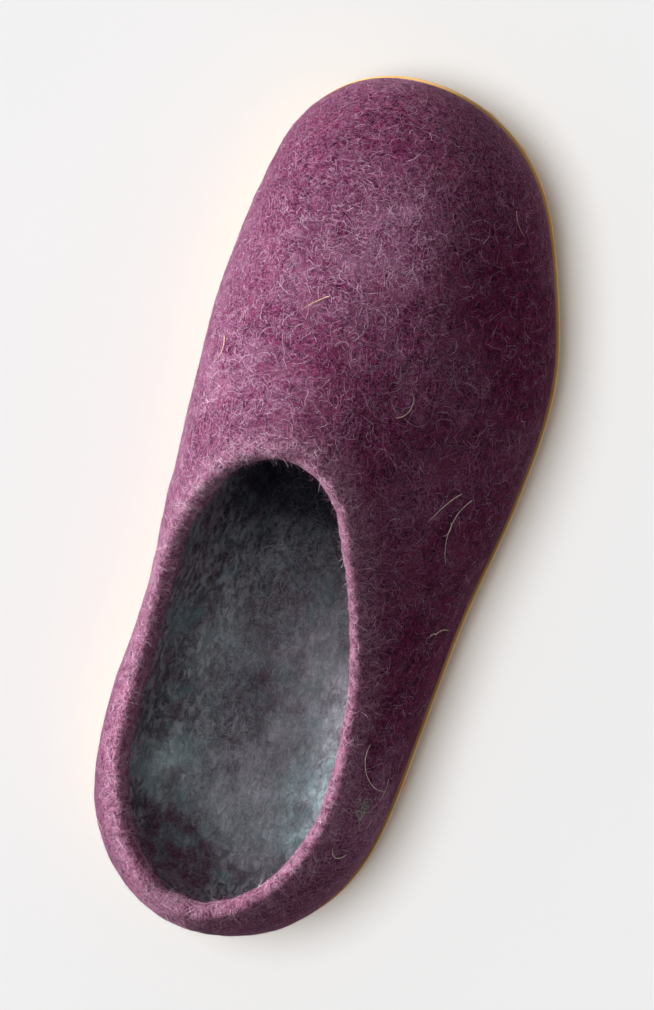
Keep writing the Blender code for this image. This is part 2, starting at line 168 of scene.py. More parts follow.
# Loose hairs: root as above, direction in degrees over the surface, length, bend, tone.
LOOSE_HAIRS = (
    (0.1529, -0.0414, 0.0504, 2.0, 0.0137, 0.3, 0.9),
    (0.1515, -0.045, 0.047, 12.0, 0.022, 1.5, 0.85),
    (0.144, -0.04, 0.05, 100.0, 0.006, -2.6, 0.7),
    (0.1104, -0.0452, 0.0361, 215.0, 0.0055, -1.0, 0.9),
    (0.1104, -0.0452, 0.0361, 330.0, 0.005, 1.0, 0.9),
    (0.074, -0.0374, 0.0425, 80.0, 0.02, 2.1, 0.8),
    (0.064, -0.043, 0.033, 110.0, 0.008, -1.4, 0.7),
    (0.196, 0.01, 0.0655, 300.0, 0.009, 0.3, 0.5),
    (0.235, -0.03, 0.04, 40.0, 0.008, 1.0, 0.6),
    (0.17, -0.02, 0.066, 140.0, 0.01, 1.8, 0.6),
    (0.04, -0.04, 0.04, 60.0, 0.009, -2.0, 0.9),
    (0.02, 0.035, 0.045, 100.0, 0.01, 1.5, 0.6),
    (0.175, 0.035, 0.055, 10.0, 0.009, -1.2, 0.5),
)

# Tuft of grey lint: middle as above, spread of its hairs.
LINT = (0.0547, -0.0401, 0.0406), 0.0011


# Fineness: points round the felt and round the footbed, rings of the felt's wall, steps of the tread.
COLUMNS = 480
FOOTBED_COLUMNS = 360
WALL_ROWS = 58
TREAD_STEP = 0.0006

# Unevenness of the felt: outside broad and fine, inside fine and broad, and at the collar's edge.
OUTER_SWELL = 0.00022, 0.00011
INNER_SWELL = 0.0005, 0.0004
LIP_SWELL = 0.00022

# Collar: extra thickness inside, height over which it fades, and width of its paler band, a painted
# highlight where its fuzz catches the light.
ROLL = 0.0013
ROLL_HEIGHT = 0.010
LIP_HIGHLIGHT = 0.0058

# Way below the collar's edge at which the inside's wool starts, what the inner side adds, and blend.
INSIDE_START = 0.0010
INSIDE_START_MORE = 0.0022
INSIDE_BLEND = 0.0035

# Footbed: angle of its feather edge on the side's ellipse, way of its slope, depth of its dish.
FEATHER_ANGLE = 57.0
SLOPE = 0.013
DISH = 0.0011

# Angle on the side's ellipse at which the footbed's level is taken.
LEVEL_ANGLE = 50.0

# Angles on the side's ellipse at which the thin layers of the sole and the felt have their rings.
BOWL_ANGLES = np.radians([0, 22, 45, 66])

# Felt's sides: power of the superellipse and roundness away from the toe; then, as shares of the
# length, where they start to turn into the toe's form, over what way, and the waist's middle.
ROUNDNESS = 2.2
SIDE_ROUND_SHARE = 1.7
FRONT_START, FRONT_BLEND = 0.45, 0.45
WAIST = 0.42

# Tread: directions of its grooves in degrees from +X, width of a block's rounding and how far that
# reaches into the groove, width of a plate's rounding and reach of its bare border.
GROOVE_ANGLES = 37.0, -45.0
BLOCK_ROUND, BLOCK_OVER = 0.0011, 0.0003
PLATE_ROUND, PLATE_BORDER = 0.0006, 0.0009

# Lights: name, place, size, setting of the power, and whether it lights the slipper or the floor.
LIGHTS = (
    ("Key light", (0.10, 1.50, 0.70), 0.7, "key_power", True),
    ("Fill light", (0.60, 0.10, 1.80), 0.8, "fill_power", True),
    ("Floor light", (0.1, 0.62, 3.3), 2.3, "floor_power", False),
)

# Camera: turn in the picture, roll over the long axis and pitch in degrees; the point it looks at and
# how far that moves in the picture; distance; focal length in mm.
CAMERA_ANGLES = 17.556, -9.877, -7.499
CAMERA_TARGET = 0.0, 0.0021, 0.030
CAMERA_SHIFT = 0.0024, 0.0033
CAMERA_DISTANCE = 0.9126
CAMERA_LENS = 110.0


def size_prop(name, description, default):
    return bpy.props.FloatProperty(
        name=name, description=description, default=default, min=0.0, precision=4,
        subtype="DISTANCE", unit="LENGTH",
    )


def colour_prop(name, description, default):
    return bpy.props.FloatVectorProperty(
        name=name, description=description, default=default, size=3, min=0.0, max=1.0, subtype="COLOR"
    )


def power_prop(name, description, default):
    return bpy.props.FloatProperty(name=name, description=description, default=default, unit="POWER")


def count_prop(name, description, default):
    return bpy.props.IntProperty(name=name, description=description, default=default, min=0)


class SlipperShape(bpy.types.PropertyGroup):
    """Sizes of the slipper's form, as its solids have them."""

    length: size_prop("Length", "Heel to toe over the sole", 0.262)
    ball_width: size_prop("Ball width", "Width that the outline's shares refer to", 0.1064)
    middle: bpy.props.FloatProperty(
        name="Middle",
        description="Middle of the footprint, to the inner side of the heel's middle",
        default=-0.00213, precision=5, subtype="DISTANCE", unit="LENGTH",
    )
    toe_spring: size_prop("Toe spring", "Rise of the sole's tip", 0.008)
    toe_spring_length: size_prop("Toe spring length", "Length over which the sole rises", 0.079)
    heel_lift: size_prop("Heel lift", "Rise of the sole's back edge", 0.003)
    heel_lift_length: size_prop("Heel lift length", "Length over which the heel rises", 0.026)
    rim_height: size_prop("Rim height", "Height of the rubber's upper edge", 0.0151)
    side_width: size_prop("Side width", "Width of the sole's rounded side, seen from below", 0.022)
    base_thickness: size_prop("Base thickness", "Outsole under the foot, without its blocks", 0.003)
    rim_thickness: size_prop("Rim thickness", "Outsole at its upper edge", 0.0014)
    midsole_thickness: size_prop("Midsole thickness", "Thin pale rubber layer", 0.0012)
    midsole_edge: size_prop("Midsole edge", "Height of the pale strip over the outsole's rim", 0.0016)
    lug_height: size_prop("Block height", "Height of the tread's blocks", 0.0015)
    groove: size_prop("Groove width", "Gap between the tread's blocks", 0.0018)
    plain_band: size_prop("Plain band", "Smooth border between the rim and the tread", 0.008)
    rising_pitch: size_prop("Rising pitch", "Distance of the grooves that run forwards and in", 0.0106)
    falling_pitch: size_prop("Falling pitch", "Distance of the grooves that run forwards and out", 0.0094)
    clearance: size_prop("Clearance", "Gap between pieces that touch", 0.0003)
    felt: size_prop("Felt thickness", "Wall of the felt upper", 0.005)
    felt_floor: size_prop("Turned-in felt", "Felt where it is turned in under the foot", 0.004)
    turned_in: size_prop("Turned-in width", "Reach of the turned-in felt from the rim", 0.029)
    setback: size_prop("Setback", "Felt behind the rubber's edge", 0.0008)
    bulge: size_prop("Side bulge", "Outward swell of the felt's sides", 0.0015)
    overhang: size_prop("Waist overhang", "Felt that leans out over the sole's waist", 0.0062)
    overhang_reach: size_prop("Overhang reach", "Length over which the felt leans out", 0.052)
    collar_back: size_prop("Collar back", "Collar's back end from the heel", 0.0095)
    collar_throat: size_prop("Throat", "Throat's edge from the heel", 0.152)
    collar_back_height: size_prop("Back height", "Collar's height at the heel", 0.053)
    collar_side_height: size_prop("Side height", "Collar's height at the sides", 0.049)
    collar_throat_height: size_prop("Throat height", "Collar's height at the throat", 0.078)
    collar_width: size_prop("Collar width", "Width that the collar's shares refer to", 0.065)
    toe_wall: size_prop("Toe wall", "Height of the rounded toe over the rubber", 0.027)
    toe_round: size_prop("Toe round", "Length of the toe's rounding", 0.048)


class SlipperFelt(bpy.types.PropertyGroup):
    """Colours and fibres of the felt."""

    deep: colour_prop("Deep plum", "Darkest wool of the outside", (0.024, 0.002, 0.011))
    plum: colour_prop("Plum", "Main wool of the outside", (0.118, 0.013, 0.058))
    lilac: colour_prop("Lilac", "Pale wool mixed into the outside", (0.340, 0.165, 0.265))
    slate: colour_prop("Slate", "Main wool of the inside", (0.335, 0.332, 0.378))
    teal: colour_prop("Teal", "Blue-green patches of the inside", (0.760, 0.980, 1.000))
    mauve: colour_prop("Mauve", "Purple wool mixed into the inside", (0.110, 0.024, 0.070))
    cream: colour_prop("Cream", "Loose pale hairs", (0.620, 0.480, 0.360))
    fibre_radius: size_prop("Fibre radius", "Half thickness of a wool fibre", 0.000028)
    fibre_length: size_prop("Fibre length", "Mean length of a fibre that shows", 0.0038)
    outer_count: count_prop("Outer fibres", "Fibres on the outside", 38000)
    edge_count: count_prop("Edge fibres", "Fibres on the collar", 9000)
    inner_count: count_prop("Inner fibres", "Fibres inside, four fifths as many on the footbed", 12000)


class SlipperRubber(bpy.types.PropertyGroup):
    """Colours of the sole."""

    honey: colour_prop("Honey", "Outsole rubber", (0.520, 0.290, 0.062))
    pale: colour_prop("Pale", "Midsole rubber", (0.660, 0.390, 0.125))
    recess_tone: colour_prop("Groove", "Darker rubber in the grooves", (0.330, 0.155, 0.025))
    glue: colour_prop("Glue", "Line of glue under the midsole's edge", (0.780, 0.110, 0.012))


class SlipperStage(bpy.types.PropertyGroup):
    """Floor, light and camera."""

    floor: colour_prop("Floor", "Pale paper floor", (0.860, 0.860, 0.860))
    key_power: power_prop("Key light", "Large light on the inner side", 76.0)
    fill_power: power_prop("Fill light", "Weaker light from above the toe", 5.0)
    floor_power: power_prop("Floor light", "Soft light on the floor alone", 99.0)
    sky: bpy.props.FloatProperty(name="Sky", description="Even white light", default=0.24, min=0.0)


def smooth(x, rows, column):
    """Column of a table at x: a cubic through its rows with averaged slopes."""
    xs, ys = rows["along"], rows[column]
    slopes = np.gradient(ys, xs)
    k = np.clip(np.searchsorted(xs, x) - 1, 0, len(xs) - 2)
    width = xs[k + 1] - xs[k]
    t = (x - xs[k]) / width
    start = (1 + 2 * t) * (1 - t) ** 2 * ys[k] + t * (1 - t) ** 2 * width * slopes[k]
    return start + t * t * (3 - 2 * t) * ys[k + 1] + t * t * (t - 1) * width * slopes[k + 1]


def ease(x):
    """Smooth step from 0 to 1 as x goes from 0 to 1."""
    x = np.clip(x, 0.0, 1.0)
    return x * x * (3.0 - 2.0 * x)


def origin(shape):
    """The finished object's origin, in the coordinates that run from the heel."""
    return np.array([shape.length / 2.0, shape.middle, 0.0])


def unit(vectors):
    return vectors / np.maximum(np.linalg.norm(vectors, axis=-1, keepdims=True), 1e-12)


def even_angles(count, shape):
    """Angles theta at even steps along an ellipse of the slipper's length and width, mirrored in it."""
    fine = np.linspace(0.0, np.pi, 4001)
    pace = np.hypot(shape.length / 2 * np.sin(fine), shape.ball_width / 2 * np.cos(fine))
    walked = np.concatenate([[0.0], np.cumsum((pace[1:] + pace[:-1]) / 2)])
    half = np.interp(np.linspace(0.0, walked[-1], count // 2 + 1), walked, fine)
    return np.concatenate([half, 2 * np.pi - half[-2:0:-1]])


class Rim:
    """The sole's outline at a row of angles: points, outward normals, and rings at an inset from it."""

    def __init__(self, count, shape):
        self.shape = shape
        self.theta = even_angles(count, shape)
        self.along = (1.0 - np.cos(self.theta)) / 2.0
        self.side = np.where(self.theta <= np.pi, 1.0, -1.0)
        self.points = self.outline()
        step = unit(np.roll(self.points, -1, axis=0) - np.roll(self.points, 1, axis=0))
        self.normals = np.stack([-step[:, 1], step[:, 0]], axis=1)

    def outline(self):
        """x = L s, y = centre(s) + side 2 sqrt(s (1 - s)) half(s), where s = (1 - cos theta) / 2."""
        s = self.along
        half = 2.0 * np.sqrt(s * (1.0 - s)) * smooth(s, SOLE_OUTLINE, "half") * self.shape.ball_width
        centre = smooth(s, SOLE_OUTLINE, "centre") * self.shape.ball_width
        return np.stack([self.shape.length * s, centre + self.side * half], axis=1)

    def spring(self, x):
        """Rise of the sole off the floor: a parabola at the toe and a small one at the heel."""
        shape = self.shape
        toe = np.clip((x - shape.length + shape.toe_spring_length) / shape.toe_spring_length, 0.0, 1.0)
        heel = np.clip((shape.heel_lift_length - x) / shape.heel_lift_length, 0.0, 1.0)
        return shape.toe_spring * toe**2 + shape.heel_lift * heel**2

    def side_point(self, angle, depth):
        """Inset and height at an angle of the side's quarter ellipse, depth below its outer face."""
        shape = self.shape
        rise = shape.rim_height - shape.lug_height
        inward = np.array([rise * math.sin(angle), shape.side_width * math.cos(angle)])
        inward /= np.linalg.norm(inward)
        inset = shape.side_width * (1.0 - math.sin(angle)) + depth * inward[0]
        return inset, shape.lug_height + rise * (1.0 - math.cos(angle)) + depth * inward[1]

    def ring(self, inset, height):
        xy = self.points - self.normals * inset
        return np.column_stack([xy, height + self.spring(xy[:, 0])])

    def bowl(self, depth, angles):
        return [self.ring(*self.side_point(a, depth(a))) for a in angles]

    def base_depth(self, angle):
        shape = self.shape
        return shape.rim_thickness + (shape.base_thickness - shape.rim_thickness) * math.cos(angle) ** 2

    def midsole_depth(self, angle):
        return self.base_depth(angle) + self.shape.clearance

    def felt_depth(self, angle):
        return self.midsole_depth(angle) + self.shape.midsole_thickness + self.shape.clearance

    def floor_depth(self, angle):
        shape = self.shape
        felt = shape.felt_floor + (shape.felt - shape.felt_floor) * math.sin(angle) ** 2
        return self.felt_depth(angle) + felt

    def cap(self, ring, cells, level):
        """Grid across a ring: straight lines from each inner point to its outer twin, at one level."""
        half = len(ring) // 2
        left = ring[: half + 1]
        right = np.concatenate([ring[:1], ring[: half - 1 : -1]])
        share = np.linspace(0.0, 1.0, cells + 1)[None, :, None]
        grid = left[:, None, :] * (1.0 - share) + right[:, None, :] * share
        grid[:, 1:-1, 2] = level + self.spring(grid[:, 1:-1, 0])
        return grid

    def collar(self):
        """Upper end of the felt's outer face: an oval in plan, its height from the three named ones."""
        shape = self.shape
        reach = shape.collar_throat - shape.collar_back
        share = 1.0 - (1.0 - self.along) ** (shape.length / reach)
        half = smooth(share, COLLAR_OUTLINE, "half") * shape.collar_width
        half = 2.0 * np.sqrt(share * (1.0 - share)) * half
        centre = smooth(share, COLLAR_OUTLINE, "centre") * shape.collar_width
        height = smooth(share, COLLAR_HEIGHTS, "back") * shape.collar_back_height
        height += smooth(share, COLLAR_HEIGHTS, "side") * shape.collar_side_height
        height += smooth(share, COLLAR_HEIGHTS, "throat") * shape.collar_throat_height
        x = shape.collar_back + reach * share
        return np.column_stack([x, centre + self.side * half, height - shape.felt / 2])

    def felt_wall(self, rows):
        """Outer face of the felt: a superellipse over each ray from the rim to the collar."""
        def round_over(share):
            return (1.0 - (1.0 - np.clip(share, 0.0, 1.0)) ** ROUNDNESS) ** (1.0 / ROUNDNESS)

        shape = self.shape
        foot = self.points - self.normals * shape.setback
        low = shape.rim_height + shape.clearance + self.spring(foot[:, 0])
        end = self.collar()
        ray = end[:, :2] - foot
        reach = np.linalg.norm(ray, axis=1)
        front = ease((self.along - FRONT_START) / FRONT_BLEND)
        round_length = (1.0 - front) * SIDE_ROUND_SHARE * reach + front * shape.toe_round
        climb = front * (end[:, 2] - low - shape.toe_wall)
        full = (end[:, 2] - low - climb) / round_over(reach / round_length)
        lean = np.exp(-(((self.along - WAIST) * shape.length / shape.overhang_reach) ** 2))
        lean = np.where(self.side > 0, shape.overhang, 0.0) * lean
        t = np.linspace(0.0, 1.0, rows)[:, None]
        run = 1.0 - np.cos(t * np.pi / 2.0)
        height = low + full * round_over(run * reach / round_length) + climb * run
        share = np.clip((height - low) / shape.collar_side_height, 0.0, 1.0)
        out = shape.bulge * 4.0 * share * (1.0 - share) + lean * ease(share * 1.4) * (1.0 - t)
        xy = foot + ray * run[..., None] + self.normals * out[..., None]
        return np.concatenate([xy, height[..., None]], axis=2)


def face_normals(grid):
    """Outward normals of rings that run from the rim upwards."""
    around = np.roll(grid, -1, axis=1) - np.roll(grid, 1, axis=1)
    return unit(np.cross(np.gradient(grid, axis=0), around))


def swell(points, seed, low, high, waves=28):
    """Smooth unevenness from -1 to 1: a sum of plane waves with lengths from low to high."""
    rng = np.random.default_rng(seed)
    heading = unit(rng.normal(size=(waves, 3)))
    number = 2.0 * np.pi / rng.uniform(low, high, waves)
    phase = rng.uniform(0.0, 2.0 * np.pi, waves)
    total = np.zeros(points.shape[:-1])
    for direction, k, start in zip(heading, number, phase):
        total += np.sin(points @ direction * k + start)
    return total / math.sqrt(waves / 2) / 2.0


def creases(points):
    """Sum of the listed troughs and ridges: each a Gaussian, long in its direction."""
    depth = np.zeros(points.shape[:-1])
    for row in CREASES:
        away = points - np.array([row["along"], row["inner"], row["height"]])
        turn = math.radians(row["turn"])
        along = away[..., 0] * math.cos(turn) + away[..., 1] * math.sin(turn)
        across = away[..., 1] * math.cos(turn) - away[..., 0] * math.sin(turn)
        fall = (along / row["length"]) ** 2 + (across / row["width"]) ** 2 + (away[..., 2] / 0.03) ** 2
        depth += row["depth"] * np.exp(-fall)
    return depth


def fill_mesh(name, points, faces):
    """Mesh from arrays of points and of faces with four corners each."""
    mesh = bpy.data.meshes.new(name)
    mesh.vertices.add(len(points))
    mesh.vertices.foreach_set("co", np.ascontiguousarray(points, dtype=np.float32).ravel())
    mesh.loops.add(faces.size)
    mesh.loops.foreach_set("vertex_index", np.ascontiguousarray(faces, dtype=np.int32).ravel())
    mesh.polygons.add(len(faces))
    mesh.polygons.foreach_set("loop_start", np.arange(0, faces.size, faces.shape[1], dtype=np.int32))
    mesh.update(calc_edges=True)
    return mesh


def add_numbers(mesh, name, values):
    """Give the mesh a number at each point, which its material reads."""
    layer = mesh.attributes.new(name, "FLOAT", "POINT")
    layer.data.foreach_set("value", np.ascontiguousarray(values, dtype=np.float32))


def patches(points, seed, rows):
    """Share of another wool: ragged Gaussians exp(-(d / reach)^2 + 0.6 swell) times their strength."""
    ragged = swell(points, seed, 0.006, 0.020)
    share = np.zeros(points.shape[:-1])
    for along, inner, height, reach, strength in rows:
        away = np.linalg.norm(points - np.array([along, inner, height]), axis=-1) / reach
        share += strength * np.exp(-(away**2) + 0.6 * ragged * np.minimum(away, 1.0))
    return np.clip(share, 0.0, 1.0)


class Shell:
    """Gathers grids of points into one closed mesh. marks are named numbers at each point."""

    def __init__(self, shape):
        self.origin = origin(shape)
        self.points, self.faces, self.marks, self.count = [], [], [], 0

    def grid(self, points, around=True, joined=False, **marks):
        """Add a grid with a row for each ring. around closes each row, joined closes the columns."""
        rows, columns = points.shape[:2]
        index = np.arange(rows * columns).reshape(rows, columns) + self.count
        if joined:
            index = np.concatenate([index, index[:1]])
        if around:
            index = np.concatenate([index, index[:, :1]], axis=1)
        quads = np.stack([index[:-1, :-1], index[:-1, 1:], index[1:, 1:], index[1:, :-1]], axis=2)
        self.faces.append(quads.reshape(-1, 4))
        self.points.append(points.reshape(-1, 3))
        size = rows, columns
        self.marks.append({name: np.broadcast_to(value, size).ravel() for name, value in marks.items()})
        self.count += rows * columns

    def mesh(self, name):
        """The mesh, with doubled points merged and its faces turned outwards."""
        points = np.concatenate(self.points) - self.origin
        mesh = fill_mesh(name, points, np.concatenate(self.faces))
        for mark in self.marks[0]:
            add_numbers(mesh, mark, np.concatenate([group[mark] for group in self.marks]))
        edit = bmesh.new()
        edit.from_mesh(mesh)
        bmesh.ops.remove_doubles(edit, verts=edit.verts, dist=2e-6)
        bmesh.ops.dissolve_degenerate(edit, edges=edit.edges, dist=1e-7)
        bmesh.ops.recalc_face_normals(edit, faces=edit.faces)
        edit.to_mesh(mesh)
        edit.free()
        mesh.shade_smooth()
        return mesh


def settings():
    scene = bpy.context.scene
    return scene.slipper_shape, scene.slipper_felt, scene.slipper_rubber


def place(mesh, material, slot, *nodes):
    """Show the mesh as a piece of the slipper, in place of the named solids."""
    mesh.materials.append(material)
    piece = bpy.data.objects.new(mesh.name, mesh)
    bpy.context.scene.collection.objects.link(piece)
    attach(piece, BODY)
    if nodes:
        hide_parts(*nodes)
    return piece


class Finish:
    """A material that is built node by node; every call returns the new node's output."""

    def __init__(self, name, **constants):
        self.material = bpy.data.materials.new(name)
        self.material.use_nodes = True
        self.tree = self.material.node_tree
        self.shader = self.tree.nodes["Principled BSDF"]
        for socket, value in constants.items():
            self.shader.inputs[socket.replace("_", " ")].default_value = value
        self.place = self.add("ShaderNodeTexCoord").outputs["Object"]

    def add(self, kind, **options):
        node = self.tree.nodes.new(kind)
        for option, value in options.items():
            setattr(node, option, value)
        return node

    def feed(self, socket, value):
        """Connect an output to a socket, or set the socket to a number or colour."""
        if isinstance(value, bpy.types.NodeSocket):
            self.tree.links.new(value, socket)
        elif hasattr(value, "__len__") and len(value) == 3 and socket.type == "RGBA":
            socket.default_value = (*value, 1.0)
        else:
            socket.default_value = value

    def noise(self, scale, detail=3.0, rough=0.55, warp=0.0, where=None):
        node = self.add("ShaderNodeTexNoise")
        parts = {"Vector": where or self.place, "Scale": scale, "Detail": detail, "Roughness": rough,
                 "Distortion": warp}
        for name, part in parts.items():
            self.feed(node.inputs[name], part)
        return node.outputs["Fac"]

    def cells(self, scale):
        node = self.add("ShaderNodeTexVoronoi")
        self.feed(node.inputs["Vector"], self.place)
        self.feed(node.inputs["Scale"], scale)
        return node.outputs["Distance"]

    def turned(self, angles, stretch):
        """Object coordinates turned by angles in degrees, then scaled along each axis."""
        turn = self.add("ShaderNodeMapping", vector_type="POINT")
        self.feed(turn.inputs["Vector"], self.place)
        turn.inputs["Rotation"].default_value = [math.radians(a) for a in angles]
        scale = self.add("ShaderNodeMapping", vector_type="POINT")
        self.feed(scale.inputs["Vector"], turn.outputs["Vector"])
        scale.inputs["Scale"].default_value = stretch
        return scale.outputs["Vector"]

    def number(self, name):
        return self.add("ShaderNodeAttribute", attribute_name=name).outputs["Fac"]

    def maths(self, operation, *values):
        node = self.add("ShaderNodeMath", operation=operation)
        for socket, value in zip(node.inputs, values):
            self.feed(socket, value)
        return node.outputs["Value"]

    def times(self, first, second):
        return self.maths("MULTIPLY", first, second)

    def between(self, value, low, high, to_low=0.0, to_high=1.0):
        """Value mapped smoothly from one range to another, and kept inside it."""
        node = self.add("ShaderNodeMapRange", interpolation_type="SMOOTHSTEP")
        parts = {"Value": value, "From Min": low, "From Max": high, "To Min": to_low, "To Max": to_high}
        for name, part in parts.items():
            self.feed(node.inputs[name], part)
        return node.outputs["Result"]

    def mix(self, share, first, second):
        node = self.add("ShaderNodeMix", data_type="RGBA")
        self.feed(node.inputs[0], share)
        self.feed(node.inputs[6], first)
        self.feed(node.inputs[7], second)
        return node.outputs[2]

    def bump(self, height, depth, normal=None):
        node = self.add("ShaderNodeBump")
        self.feed(node.inputs["Height"], height)
        self.feed(node.inputs["Distance"], depth)
        if normal:
            self.feed(node.inputs["Normal"], normal)
        return node.outputs["Normal"]

    def finish(self, **links):
        for socket, value in links.items():
            self.feed(self.shader.inputs[socket.replace("_", " ")], value)
        return self.material


def streaks(finish, scale, warp):
    """Fine crossing lines of matted wool: the brightest of four noises stretched in four directions."""
    level = None
    for angles in ((20, 0, 25), (60, 10, 75), (-35, 40, 130), (15, -50, 170)):
        where = finish.turned(angles, (1.0, 0.12, 1.0))
        line = finish.noise(scale, 1.0, 0.5, warp, where)
        level = line if level is None else finish.maths("MAXIMUM", level, line)
    return level


def outer_felt(felt):
    """Outside of the felt: plum wool with lilac and deeper red wool in patches, mottling and fine
    streaks. Part of the lilac is painted highlight, low on the lit inner side and at the outer heel; part
    of the red is painted shade along the shaded outer side; a paler band at the collar's top is painted
    highlight.
    """
    wool = Finish("plum felt", Roughness=0.95, Sheen_Roughness=0.35, Sheen_Tint=(0.95, 0.50, 0.68, 1.0),
                  Specular_IOR_Level=0.02)
    frost, wine = wool.number("frost"), wool.number("wine")
    mottle = wool.between(wool.noise(620.0, 4.0, 0.68, 0.4), 0.36, 0.62)
    fine = wool.between(streaks(wool, 2300.0, 0.7), 0.57, 0.70)
    base = wool.mix(mottle, felt.deep, felt.plum)
    # Deeper red wool, mostly along the shaded outer side: partly its own colour, partly painted shade.
    deep_red_and_shade = wool.mix(mottle, (0.022, 0.0005, 0.008), (0.125, 0.002, 0.045))
    base = wool.mix(wool.times(wine, 0.76), base, deep_red_and_shade)
    # Paler lilac streaks and haze in the pale patches: partly pale wool, partly painted highlight low on
    # the lit inner side and at the outer heel.
    paler = wool.between(wool.maths("SUBTRACT", frost, wine), -1.0, 1.0, 0.10, 0.78)
    base = wool.mix(wool.times(fine, paler), base, felt.lilac)
    haze = wool.between(wool.noise(150.0, 3.0, 0.6, 0.3), 0.35, 0.65)
    base = wool.mix(wool.times(wool.times(frost, haze), 0.42), base, felt.lilac)
    red = wool.between(wool.noise(75.0, 2.0, 0.5, 0.3), 0.5, 0.72, 0.0, 0.22)
    base = wool.mix(red, base, (0.190, 0.028, 0.070))
    # Painted highlight: paler lilac in the band at the collar's top, where its fuzz catches the light.
    rim = wool.times(wool.number("lip"), wool.between(mottle, 0.1, 0.9, 0.15, 0.58))
    base = wool.mix(rim, base, (0.400, 0.190, 0.280))
    soft = wool.bump(wool.noise(330.0, 3.0, 0.6, 0.4), 0.0006)
    normal = wool.bump(fine, 0.00016, soft)
    wool.feed(wool.shader.inputs["Sheen Weight"], wool.between(wine, 0.0, 1.0, 0.38, 0.10))
    return wool, base, normal


def inner_felt(felt, wool):
    """Inside of the felt: slate wool with pale, blue-green and purple patches, in small lumps, and
    near-black patches of painted shade deep in the throat under the vamp.
    """
    long = wool.turned((0, 0, 0), (0.55, 1.0, 1.0))
    lumps = wool.between(wool.noise(560.0, 4.0, 0.66, 0.6, long), 0.38, 0.60)
    base = wool.mix(lumps, [c * 0.18 for c in felt.slate], felt.slate)
    haze = wool.between(wool.noise(210.0, 3.0, 0.6, 0.4), 0.32, 0.62, 0.50, 1.0)
    pale = (0.84, 0.76, 0.87)
    most = {"ash": 0.90, "teal": 0.98, "mauve": 0.98}
    for name, colour in (("ash", pale), ("teal", felt.teal), ("mauve", felt.mauve)):
        base = wool.mix(wool.times(wool.number(name), wool.times(haze, most[name])), base, colour)
    speck = wool.between(wool.noise(120.0, 3.0, 0.65, 0.15), 0.50, 0.66, 0.0, 0.52)
    base = wool.mix(speck, base, felt.mauve)
    aslant = wool.turned((0, 0, 40), (1.0, 1.0, 1.0))
    green = wool.between(wool.noise(95.0, 3.0, 0.62, 0.5, aslant), 0.50, 0.68, 0.0, 0.45)
    base = wool.mix(green, base, (0.200, 0.380, 0.390))
    fine = wool.between(streaks(wool, 1800.0, 1.3), 0.54, 0.78, 0.0, 0.25)
    base = wool.mix(fine, base, (0.56, 0.58, 0.63))
    # Painted shade: near-black wool deep in the throat under the vamp.
    base = wool.mix(wool.times(wool.number("night"), 0.86), base, (0.006, 0.006, 0.024))
    normal = wool.bump(wool.noise(260.0, 3.0, 0.65, 0.5), 0.0012)
    return base, wool.bump(lumps, 0.0004, normal)


def felt_material(felt):
    """Both sides of the upper; the number inside tells them apart."""
    wool, outside, normal = outer_felt(felt)
    inside, inner_normal = inner_felt(felt, wool)
    share = wool.number("inside")
    edge = wool.between(wool.maths("ADD", share, wool.times(wool.noise(160.0, 2.0), 0.5)), 0.55, 0.95)
    colour = wool.mix(edge, outside, inside)
    blend = wool.add("ShaderNodeMix", data_type="VECTOR")
    wool.feed(blend.inputs[0], share)
    wool.feed(blend.inputs[4], normal)
    wool.feed(blend.inputs[5], inner_normal)
    return wool.finish(Base_Color=colour, Normal=blend.outputs[1])


def footbed_material(felt):
    wool = Finish("grey felt", Roughness=0.95, Sheen_Weight=0.2, Sheen_Roughness=0.5,
                  Specular_IOR_Level=0.1)
    colour, normal = inner_felt(felt, wool)
    return wool.finish(Base_Color=colour, Normal=normal)


def rubber_material(rubber):
    """Outsole: honey rubber, darker in the grooves, grained on the blocks, with small bubbles."""
    cast = Finish("honey rubber", Specular_IOR_Level=0.42, Coat_Weight=0.06, Coat_Roughness=0.35,
                  Subsurface_Weight=0.12, Subsurface_Scale=0.002, Subsurface_Radius=(1.0, 0.5, 0.15))
    block, grained = cast.number("block"), cast.number("grained")
    tone = cast.between(cast.noise(34.0, 3.0), 0.35, 0.7, 0.0, 0.4)
    colour = cast.mix(tone, rubber.honey, rubber.pale)
    # Darker rubber in the grooves, between the grains and in the pits.
    groove = cast.times(cast.between(block, 0.02, 0.75, 1.0, 0.0), cast.number("tread"))
    colour = cast.mix(cast.times(groove, 0.65), colour, rubber.recess_tone)
    grains = cast.cells(1500.0)
    grain = cast.times(cast.between(grains, 0.1, 0.7, 1.0, 0.0), grained)
    between_grains = cast.times(cast.between(grains, 0.35, 0.8), cast.times(grained, 0.45))
    colour = cast.mix(between_grains, colour, rubber.recess_tone)
    pit = cast.between(cast.cells(210.0), 0.07, 0.12, 1.0, 0.0)
    pit = cast.times(pit, cast.times(groove, cast.between(cast.noise(70.0, 2.0), 0.5, 0.62)))
    colour = cast.mix(pit, colour, [c * 0.35 for c in rubber.recess_tone])
    normal = cast.bump(cast.noise(900.0, 3.0, 0.6), 0.00005)
    normal = cast.bump(grain, 0.00028, normal)
    normal = cast.bump(pit, -0.0004, normal)
    rough = cast.between(cast.noise(120.0, 3.0), 0.3, 0.7, 0.42, 0.58)
    return cast.finish(Base_Color=colour, Roughness=rough, Normal=normal)


